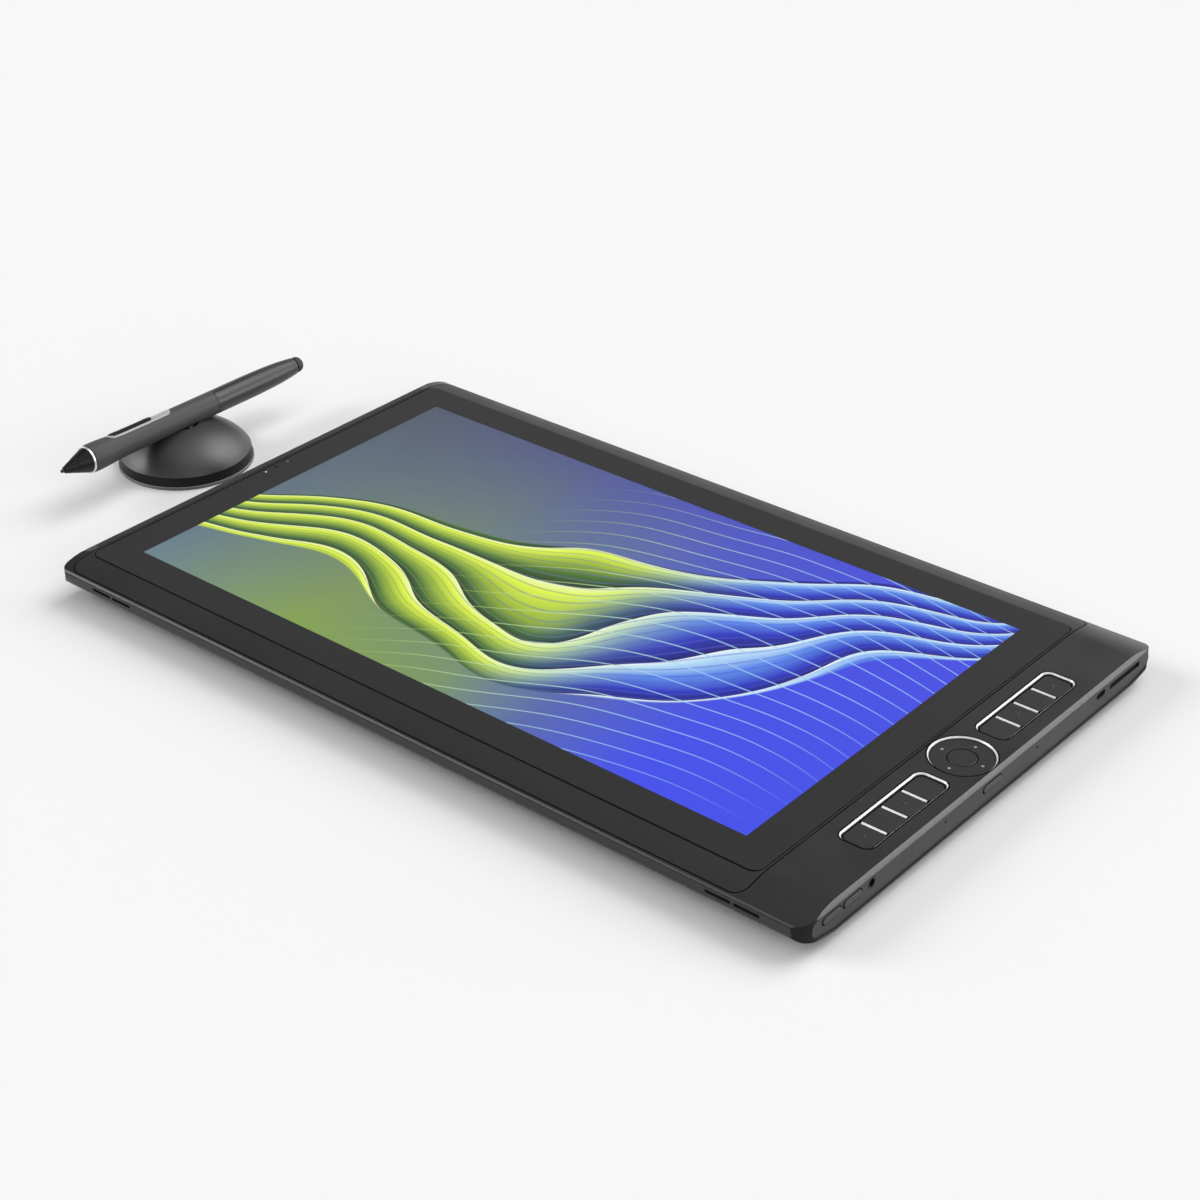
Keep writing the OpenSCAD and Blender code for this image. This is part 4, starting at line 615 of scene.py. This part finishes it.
# Light from the panel comes through the etching: full colour, with a slight veil of reflected room.
lit_picture = bpy.data.materials.new("lit_panel_behind_etched_glass")
lit_picture.use_nodes = True
tree = lit_picture.node_tree
shader = tree.nodes["Principled BSDF"]
centred = add(tree, "ShaderNodeMapping", {
    "vector_type": "TEXTURE", "Location": (screen_x, 0, glass_high.z), "Scale": (PICTURE_W,) * 3},
    {"Vector": add(tree, "ShaderNodeTexCoord").outputs["Object"]}).outputs["Vector"]
on_picture = add(tree, "ShaderNodeSeparateXYZ", {}, {0: centred}).outputs
far = add(tree, "ShaderNodeMapRange", {"From Min": -0.28, "From Max": 0.28}, {"Value": on_picture["Y"]})
along = add(tree, "ShaderNodeMath", {"operation": "ADD", 1: 0.5}, {0: on_picture["X"]})
turned = add(tree, "ShaderNodeMapping", {"Rotation": (0, 0, SWEEP_TURN)}, {"Vector": centred})
sweep = add(tree, "ShaderNodeSeparateXYZ", {}, {0: turned.outputs[0]}).outputs
slow = add(tree, "ShaderNodeTexNoise", {"Scale": SLOW_SCALE, "Detail": 1}, {"Vector": centred})
drawn = {"x": sweep["X"], "y": sweep["Y"], "slow": slow.outputs["Fac"],
         "along": along.outputs[0], "far": far.outputs["Result"]}
for name, operation, *terms in SUMS:
    numbers = {i: term for i, term in enumerate(terms) if term not in drawn}
    sources = {i: drawn[term] for i, term in enumerate(terms) if term in drawn}
    drawn[name] = add(tree, "ShaderNodeMath", {"operation": operation, **numbers}, sources).outputs[0]
for name, source, from_low, from_high, top in SOFT_STEPS:
    drawn[name] = add(tree, "ShaderNodeMapRange", {
        "interpolation_type": "SMOOTHSTEP", "From Min": from_low, "From Max": from_high, "To Max": top},
        {"Value": drawn[source]}).outputs["Result"]
line_zone = add(tree, "ShaderNodeMath", {"operation": "MULTIPLY"}, {
    0: drawn["line_end"], 1: drawn["line_side"]})
drawn["line_share"] = add(tree, "ShaderNodeMath", {"operation": "MULTIPLY"}, {
    0: drawn["thin_line"], 1: line_zone.outputs[0]}).outputs[0]
for name, source, first_stop, *more_stops in COLOUR_RUNS:
    colour_run = add(tree, "ShaderNodeValToRGB", {}, {"Fac": drawn[source]})
    elements = colour_run.color_ramp.elements
    elements.remove(elements[0])
    elements[0].position = first_stop[0]
    elements[0].color = linear(first_stop[1])
    for position, colour in more_stops:
        elements.new(position).color = linear(colour)
    drawn[name] = colour_run.outputs["Color"]
for name, factor, one, other in MIXES:
    drawn[name] = add(tree, "ShaderNodeMix", {"data_type": "RGBA"}, {
        "Factor": drawn[factor], 6: drawn[one], 7: drawn[other]}).outputs[2]
dimmed = add(tree, "ShaderNodeVectorMath", {"operation": "SCALE", "Scale": PICTURE_DIM}, {
    0: drawn["picture"]})
tree.links.new(dimmed.outputs[0], shader.inputs["Base Color"])
tree.links.new(drawn["picture"], shader.inputs["Emission Color"])
shader.inputs["Emission Strength"].default_value = PICTURE_GLOW
shader.inputs["Roughness"].default_value = 0.4
shader.inputs["Specular IOR Level"].default_value = 0.35


def rounded_outline(low, high, corner_r, inset, z):
    """Points of a rounded rectangle, drawn in by inset, and the corner that each belongs to."""
    radius = corner_r - inset
    points = []
    for corner, (x, y) in enumerate(((1, 1), (-1, 1), (-1, -1), (1, -1))):
        middle = Vector(((high.x if x > 0 else low.x) - x * corner_r,
                         (high.y if y > 0 else low.y) - y * corner_r, z))
        for step_on in range(CORNER_STEPS + 1):
            turn = math.pi / 2 * (corner + step_on / CORNER_STEPS)
            points.append((corner, middle + radius * Vector((math.cos(turn), math.sin(turn), 0))))
    return points


shape = bmesh.new()
rings = []
for inset, z in ((0, glass_low.z), (0, glass_high.z - GLASS_CHAMFER), (GLASS_CHAMFER, glass_high.z)):
    outline = rounded_outline(glass_low, glass_high, GLASS_CORNER, inset, z)
    rings.append([shape.verts.new(point) for _, point in outline])
corners = [corner for corner, _ in outline]
window = [shape.verts.new((screen_x + x * PICTURE_W / 2, y * PICTURE_H / 2, glass_high.z))
          for x, y in ((1, 1), (-1, 1), (-1, -1), (1, -1))]
shape.faces.new(reversed(rings[0])).material_index = 2
for i in range(len(corners)):
    j = (i + 1) % len(corners)
    for lower, upper in zip(rings, rings[1:]):
        shape.faces.new((lower[i], lower[j], upper[j], upper[i])).material_index = 2
    border = [rings[2][i], rings[2][j], window[corners[j]]]
    if corners[i] != corners[j]:
        border.append(window[corners[i]])
    shape.faces.new(border)
shape.faces.new(window).material_index = 1
glass_mesh = bpy.data.meshes.new("cover_glass_sheet")
shape.to_mesh(glass_mesh)
shape.free()
for material in (etched_glass, lit_picture, ground_edge):
    glass_mesh.materials.append(material)
placed(bpy.data.objects.new("cover_glass_sheet", glass_mesh), "tablet", slots["cover_glass"], "cover_glass")

# Webcam
# A small module behind the glass border, seen through three clear spots in the dark print:
# the lens in the middle, a light that shows when it works, and a light sensor.
CAMERA_IN = 2.6 * MM
CAMERA_PITCH = 7.2 * MM
WINDOW_RISE = 0.02 * MM
WINDOW_SIDES = 24
WINDOW_ROWS = ((1, 0), (0.85, 0.6), (0.5, 0.9))
finish(sound_plastic, "webcam")


def clear_window(name, radius, y, colour, roughness):
    """A clear spot in the print, slightly crowned: a tight small reflection over what lies behind."""
    turns = [2 * math.pi * i / WINDOW_SIDES for i in range(WINDOW_SIDES)]
    points = [(glass_low.x + CAMERA_IN + share * radius * math.cos(turn),
               y + share * radius * math.sin(turn), glass_high.z + rise * WINDOW_RISE)
              for share, rise in WINDOW_ROWS for turn in turns]
    points.append((glass_low.x + CAMERA_IN, y, glass_high.z + WINDOW_RISE))
    faces = [(row * WINDOW_SIDES + i, row * WINDOW_SIDES + (i + 1) % WINDOW_SIDES,
              (row + 1) * WINDOW_SIDES + (i + 1) % WINDOW_SIDES, (row + 1) * WINDOW_SIDES + i)
             for row in range(len(WINDOW_ROWS) - 1) for i in range(WINDOW_SIDES)]
    last = (len(WINDOW_ROWS) - 1) * WINDOW_SIDES
    faces += [(last + i, last + (i + 1) % WINDOW_SIDES, len(points) - 1) for i in range(WINDOW_SIDES)]
    faces.append(tuple(reversed(range(WINDOW_SIDES))))
    mesh = bpy.data.meshes.new(name)
    mesh.from_pydata(points, [], faces)
    mesh.shade_smooth()
    mesh.materials.append(moulded_plastic(name + "_glass", colour, roughness, 0.5, relief=0))
    placed(bpy.data.objects.new(name, mesh), "tablet", slots["webcam"])


clear_window("webcam_light", 0.6 * MM, -CAMERA_PITCH, "#e8e8ea", 0.3)
clear_window("webcam_lens", 1.5 * MM, 0, "#2a2a3c", 0.1)
clear_window("webcam_sensor", 0.6 * MM, CAMERA_PITCH, "#77777a", 0.2)

# Key trims
# Aluminium frames, black anodised, whose bevels and ridges are then milled bare and blasted with
# fine beads. They are pressed into wells of the key strip, each with an open joint round it.
MILLED_SLOPE = 0.3
MILLED_Z = 17.7 * MM
KEY_TOP_Z = 18.11 * MM
FOOT_SHADE_Z = 18.36 * MM
FLANGE = 1 * MM
GROUP_CORNER = 4 * MM
JOINT = 0.65 * MM
JOINT_RISE = 0.02 * MM
# Dyed oxide: deep black with a dull sheen.
anodised = moulded_plastic("black_anodised_aluminium", "#0e0e0f", 0.45, 0.3)
# The bare metal is light, and its near-white diffuse colour is also a painted reflection, so only part of
# it shines as metal.
bare_metal_painted_reflection = worked_metal("blasted_aluminium_painted_reflection", "#f6f6f8", 0.3, (3 * MM,) * 3, relief=0, metallic=0.2)


def milled(normal, center):
    """Whether a face of a trim is milled bare. A band at the foot of each bevel is left black, as painted
    shade in the crease.
    """
    return normal.z > MILLED_SLOPE and center.z > MILLED_Z and not KEY_TOP_Z < center.z < FOOT_SHADE_Z


flanges = {"lower_key_trim": FLANGE, "upper_key_trim": FLANGE, "ring_trim": 0}
for trim in flanges:
    frame_piece = softened(trim, anodised, 0)
    shape = bmesh.new()
    shape.from_mesh(frame_piece.data)
    bmesh.ops.bisect_plane(shape, geom=shape.verts[:] + shape.edges[:] + shape.faces[:],
                           plane_co=(0, 0, FOOT_SHADE_Z), plane_no=(0, 0, 1))
    shape.to_mesh(frame_piece.data)
    shape.free()
    refaced(frame_piece, bare_metal_painted_reflection, milled)

# Each group gets a flat black ring lying on the strip round its trim: painted shade standing in for the
# open joint.
for trim, flange in flanges.items():
    low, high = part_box(trim)
    low += Vector((flange, flange, 0))
    high -= Vector((flange, flange, 0))
    corner_r = GROUP_CORNER if flange else (high.x - low.x) / 2
    shape = bmesh.new()
    loops = []
    for inset, rise in ((-JOINT, -JOINT_RISE), (-JOINT, JOINT_RISE), (0, JOINT_RISE), (0, -JOINT_RISE)):
        outline = rounded_outline(low, high, corner_r, inset, high.z + rise)
        loops.append([shape.verts.new(point) for _, point in outline])
    for one, other in zip(loops, loops[1:] + loops[:1]):
        for i in range(len(one)):
            shape.faces.new((one[i - 1], one[i], other[i], other[i - 1]))
    bmesh.ops.remove_doubles(shape, verts=shape.verts, dist=MERGED)
    bmesh.ops.recalc_face_normals(shape, faces=shape.faces)
    mesh = bpy.data.meshes.new(trim + "_joint_painted_shade")
    shape.to_mesh(mesh)
    shape.free()
    mesh.materials.append(joint_painted_shade)
    placed(bpy.data.objects.new(trim + "_joint_painted_shade", mesh), "tablet", slots["top_housing"])

# Keys
# Caps in the housing's own texture in two groups of four, the touch ring with its middle
# button, the pips of light in it, and the sprung domes of brass that they press.
KEY_GAP = 0.25 * MM
KEY_EDGE = 0.22 * MM
RING_EDGE = 0.35 * MM


def drawn_in(piece, gap):
    """Draws a cap's upright walls in, so that the gap round it shows as a black line."""
    xs = [vertex.co.x for vertex in piece.data.vertices]
    ys = [vertex.co.y for vertex in piece.data.vertices]
    middle = Vector(((min(xs) + max(xs)) / 2, (min(ys) + max(ys)) / 2, 0))
    scale = Vector((1 - 2 * gap / (max(xs) - min(xs)), 1 - 2 * gap / (max(ys) - min(ys)), 1))
    for vertex in piece.data.vertices:
        vertex.co = middle + (vertex.co - middle) * scale


# A little glossier than the bezel, as caps are that fingers polish.
key_plastic = moulded_plastic("spark_eroded_abs_keys", "#292a2a", 0.42, 0.42)
for group in ("lower", "upper"):
    for number in range(1, 5):
        drawn_in(softened(f"{group}_key_{number}", key_plastic, KEY_EDGE), KEY_GAP)
drawn_in(softened("ring_button", key_plastic, RING_EDGE), KEY_GAP)
softened("touch_ring", key_plastic, RING_EDGE)
# Milky plastic ends of the light pipes, pale when unlit.
light_pipe = moulded_plastic("frosted_acrylic", "#a0a0a2", 0.3, 0.5)
finish(light_pipe, "ring_lights")
# Bright yellow metal with the grain of the stamping.
dome_brass = worked_metal("stamped_brass", "#c8b070", 0.3, (0.8 * MM,) * 3)
finish(dome_brass, "key_domes")

# End plate
# A die-cast plate painted satin grey and set into the key strip's end, with pockets
# for the power and volume buttons and cut-outs for the ports behind it.
POCKET_ROOM = 0.6 * MM
POCKET_WALL = 0.5
POCKET_GAP = 0.3 * MM
end_buttons = ("power_button", "volume_up_button", "volume_down_button")
pockets = [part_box(button) for button in end_buttons]


def in_pocket(normal, center):
    """Whether a face of the plate is a wall of one of the buttons' pockets."""
    return abs(normal.x) < POCKET_WALL and any(
        low.y - POCKET_ROOM < center.y < high.y + POCKET_ROOM and
        low.z - POCKET_ROOM < center.z < high.z + POCKET_ROOM for low, high in pockets)


# Sprayed paint: a smooth grey satin, lighter than the moulded strip above it.
plate_paint = moulded_plastic("satin_paint_on_casting", "#2e2e32", 0.42, 0.45)
end_plate = softened("end_plate", plate_paint, 0.12 * MM)
for low, high in pockets:
    middle = (low + high) / 2
    straight = (high.y - low.y - high.z + low.z) / 2
    for vertex in end_plate.data.vertices:
        from_middle = vertex.co - middle
        if (abs(from_middle.y) < (high.y - low.y) / 2 + POCKET_ROOM
                and abs(from_middle.z) < (high.z - low.z) / 2 + POCKET_ROOM):
            along_axis = max(-straight, min(straight, from_middle.y))
            vertex.co += POCKET_GAP * Vector((0, from_middle.y - along_axis, from_middle.z)).normalized()
# The pockets' walls are painted dull black, as painted shade round the buttons.
pocket_painted_shade = moulded_plastic("pocket_wall_painted_shade", "#08080a", 0.8, 0.2)
refaced(end_plate, pocket_painted_shade, in_pocket)
# Slightly lighter than the plate, with rounded edges that catch the light.
button_plastic = moulded_plastic("satin_abs_buttons", "#38383b", 0.4, 0.45)
for button in end_buttons:
    softened(button, button_plastic, 0.35 * MM)
# A dark insert that shows as a black hole in the plate.
port_plastic = moulded_plastic("black_nylon_port", "#161618", 0.45, 0.4)
finish(port_plastic, "headset_jack")

# Data port contacts
# Rows of gold-plated pads, etched on both faces of each port's tongue, at the left end.
# The ports themselves are soldered to the data port board.
PADS = 8
PAD_PITCH = 0.6 * MM
PAD_SIZE = (3.2 * MM, 0.3 * MM, 0.04 * MM)
TONGUE_T = 0.7 * MM
PORT_PITCH = 24 * MM
port_low, port_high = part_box("usb_ports")
tree, inlets = growing_tree("contact_rows", pads="Int", pitch="Vector", pad="Vector")
pad = add(tree, "GeometryNodeMeshCube", {}, {"Size": inlets["pad"]}).outputs["Mesh"]
row = add(tree, "GeometryNodeMeshLine", {}, {
    "Count": inlets["pads"], "Offset": inlets["pitch"]}).outputs["Mesh"]
pads = add(tree, "GeometryNodeInstanceOnPoints", {}, {"Points": row, "Instance": pad}).outputs[0]
rows = add(tree, "GeometryNodeInstanceOnPoints", {}, {"Points": inlets["points"], "Instance": pads})
close_tree(tree, inlets, rows.outputs[0])
# A thin bright yellow plating, slightly drawn out along each pad.
gold = worked_metal("plated_gold", "#d9b45a", 0.25, (2 * MM, 0.3 * MM, 0.3 * MM))
row_x = port_low.x + PAD_SIZE[0]
row_y = -(PADS - 1) / 2 * PAD_PITCH
port_z = (port_low.z + port_high.z) / 2
row_points = [(row_x, port * PORT_PITCH + row_y, port_z + side * TONGUE_T / 2)
              for port in (-1, 0, 1) for side in (-1, 1)]
placed(grown("data_port_contacts", row_points, tree, pads=PADS, pitch=(0, PAD_PITCH, 0), pad=PAD_SIZE,
             metal=gold), "tablet", slots["usb_ports"])

# Pen stand
# A weighted base, moulded in ABS, on a grey rubber foot. A lacquered domed top turns on it
# to open the store of spare nibs, and holds the pen in its saddle or socket.

# Pale matt rubber, seen as a thin light line on the desk.
stand_rubber = moulded_plastic("moulded_grey_rubber", "#a4a4a6", 0.8, 0.3)
softened("stand_foot", stand_rubber, 0.2 * MM)
# A dark band under the dome.
base_plastic = moulded_plastic("satin_abs_base", "#0f0f10", 0.45, 0.25)
softened("stand_base", base_plastic, 0)
# The lacquer mirrors the soft boxes as broad blurred patches of light on both flanks.
dome_plastic = moulded_plastic("satin_lacquered_dome", "#232324", 0.42, 1.0)
softened("stand_dome", dome_plastic, 0)
# Turned rods with a waxy low sheen.
nib_plastic = moulded_plastic("machined_pom", "#1c1c1e", 0.4, 0.45)
finish(nib_plastic, "spare_nib_set")

# Pen
# A soft rubber grip moulded over a plastic core, a satin front cone with the nib, a bright
# turned ring between them, and a tapering barrel with a rubber eraser at its end.

# Soft-touch rubber spreads the light: greyer than the barrel, with no sharp highlight.
grip_rubber = moulded_plastic("soft_touch_rubber", "#4c4c4d", 0.5, 0.3)
softened("pen_grip", grip_rubber, 0)
# Near black beside the grip.
cone_plastic = moulded_plastic("satin_pom_cone", "#0d0d0e", 0.4, 0.3)
softened("pen_front_cone", cone_plastic, 0)
softened("pen_nib", nib_plastic, 0)
# Dull black rubber.
eraser_rubber = moulded_plastic("moulded_eraser_rubber", "#29292a", 0.5, 0.45)
softened("pen_eraser", eraser_rubber, 0)
# A bright line round the pen, with the lathe's marks round it.
ring_metal = worked_metal("turned_satin_chrome", "#ececee", 0.4, (0.3 * MM, 2 * MM, 0.3 * MM))
softened("pen_ring", ring_metal, 0.12 * MM)
# One long soft highlight along the top.
barrel_plastic = moulded_plastic("satin_abs_barrel", "#303031", 0.4, 0.55)
softened("pen_rear_barrel", barrel_plastic, 0)

# Pen switch
# A brushed aluminium plate let into the grip, and the black rocker in it, which has moulded
# ridges across it so that a finger finds it.
RIDGES = 15
RIDGE_PITCH = 1.5 * MM
RIDGE_R = 0.2 * MM
RIDGE_SWEEP = math.radians(27)
PEN_ROLL = math.radians(12)
PEN_X, PEN_TIP_Y, PEN_Z = -222.5 * MM, -76.1 * MM, 24 * MM
SWITCH_S = 45 * MM
SWITCH_RISE = 0.6 * MM
GRIP_R = 6.15
GRIP_SWELL_S = 20.5
GRIP_SWELL_L = 12
# Brushing along the pen draws the reflection out, and scatters most of it. The bevelled rim is painted near
# white, partly bare metal and partly a painted reflection.
switch_metal = worked_metal("brushed_aluminium", "#c6c7c9", 0.4, (0.5 * MM, 14 * MM, 0.5 * MM),
                            metallic=0.35)
switch_plate = softened("pen_switch_plate", switch_metal, 0.3 * MM)
switch_plate.data.materials.append(bare_metal_painted_reflection)
switch_plate.modifiers["rounded_edges"].material = 1
# Black, with a thin gleam on each ridge.
rocker_plastic = moulded_plastic("moulded_black_rocker", "#0b0b0c", 0.5, 0.3)
softened("pen_side_switch", rocker_plastic, 0.1 * MM)


def grip_radius(s):
    """Radius of the grip at a distance from the nib's tip."""
    return (GRIP_R + math.exp(-((s / MM - GRIP_SWELL_S) / GRIP_SWELL_L) ** 2)) * MM


tree, inlets = growing_tree("switch_ridges", arc_r="Float", start="Float", sweep="Float", ridge_r="Float")
arc_line = add(tree, "GeometryNodeCurveArc", {"Resolution": 9}, {
    "Radius": inlets["arc_r"], "Start Angle": inlets["start"], "Sweep Angle": inlets["sweep"]}).outputs[0]
section = add(tree, "GeometryNodeCurvePrimitiveCircle", {"Resolution": 8},
              {"Radius": inlets["ridge_r"]}).outputs[0]
bar = add(tree, "GeometryNodeCurveToMesh", {"Fill Caps": True}, {
    "Curve": arc_line, "Profile Curve": section}).outputs[0]
upright = add(tree, "GeometryNodeTransform", {"Rotation": (math.pi / 2, 0, 0)}, {"Geometry": bar})
ridges = add(tree, "GeometryNodeInstanceOnPoints", {}, {
    "Points": inlets["points"], "Instance": upright.outputs[0]})
close_tree(tree, inlets, ridges.outputs[0])
switch_up = Vector((-math.sin(PEN_ROLL), 0, math.cos(PEN_ROLL)))
arc_r = grip_radius(SWITCH_S) + SWITCH_RISE
ridge_points = []
for number in range(RIDGES):
    s = SWITCH_S + (number - (RIDGES - 1) / 2) * RIDGE_PITCH
    lift_off = grip_radius(s) + SWITCH_RISE - arc_r
    ridge_points.append(Vector((PEN_X, PEN_TIP_Y + s, PEN_Z)) + switch_up * lift_off)
placed(grown("pen_switch_ridges", ridge_points, tree, arc_r=arc_r, ridge_r=RIDGE_R, sweep=RIDGE_SWEEP,
             start=math.pi / 2 + PEN_ROLL - RIDGE_SWEEP / 2, metal=rocker_plastic),
       "pen_switch", slots["pen_side_switch"])
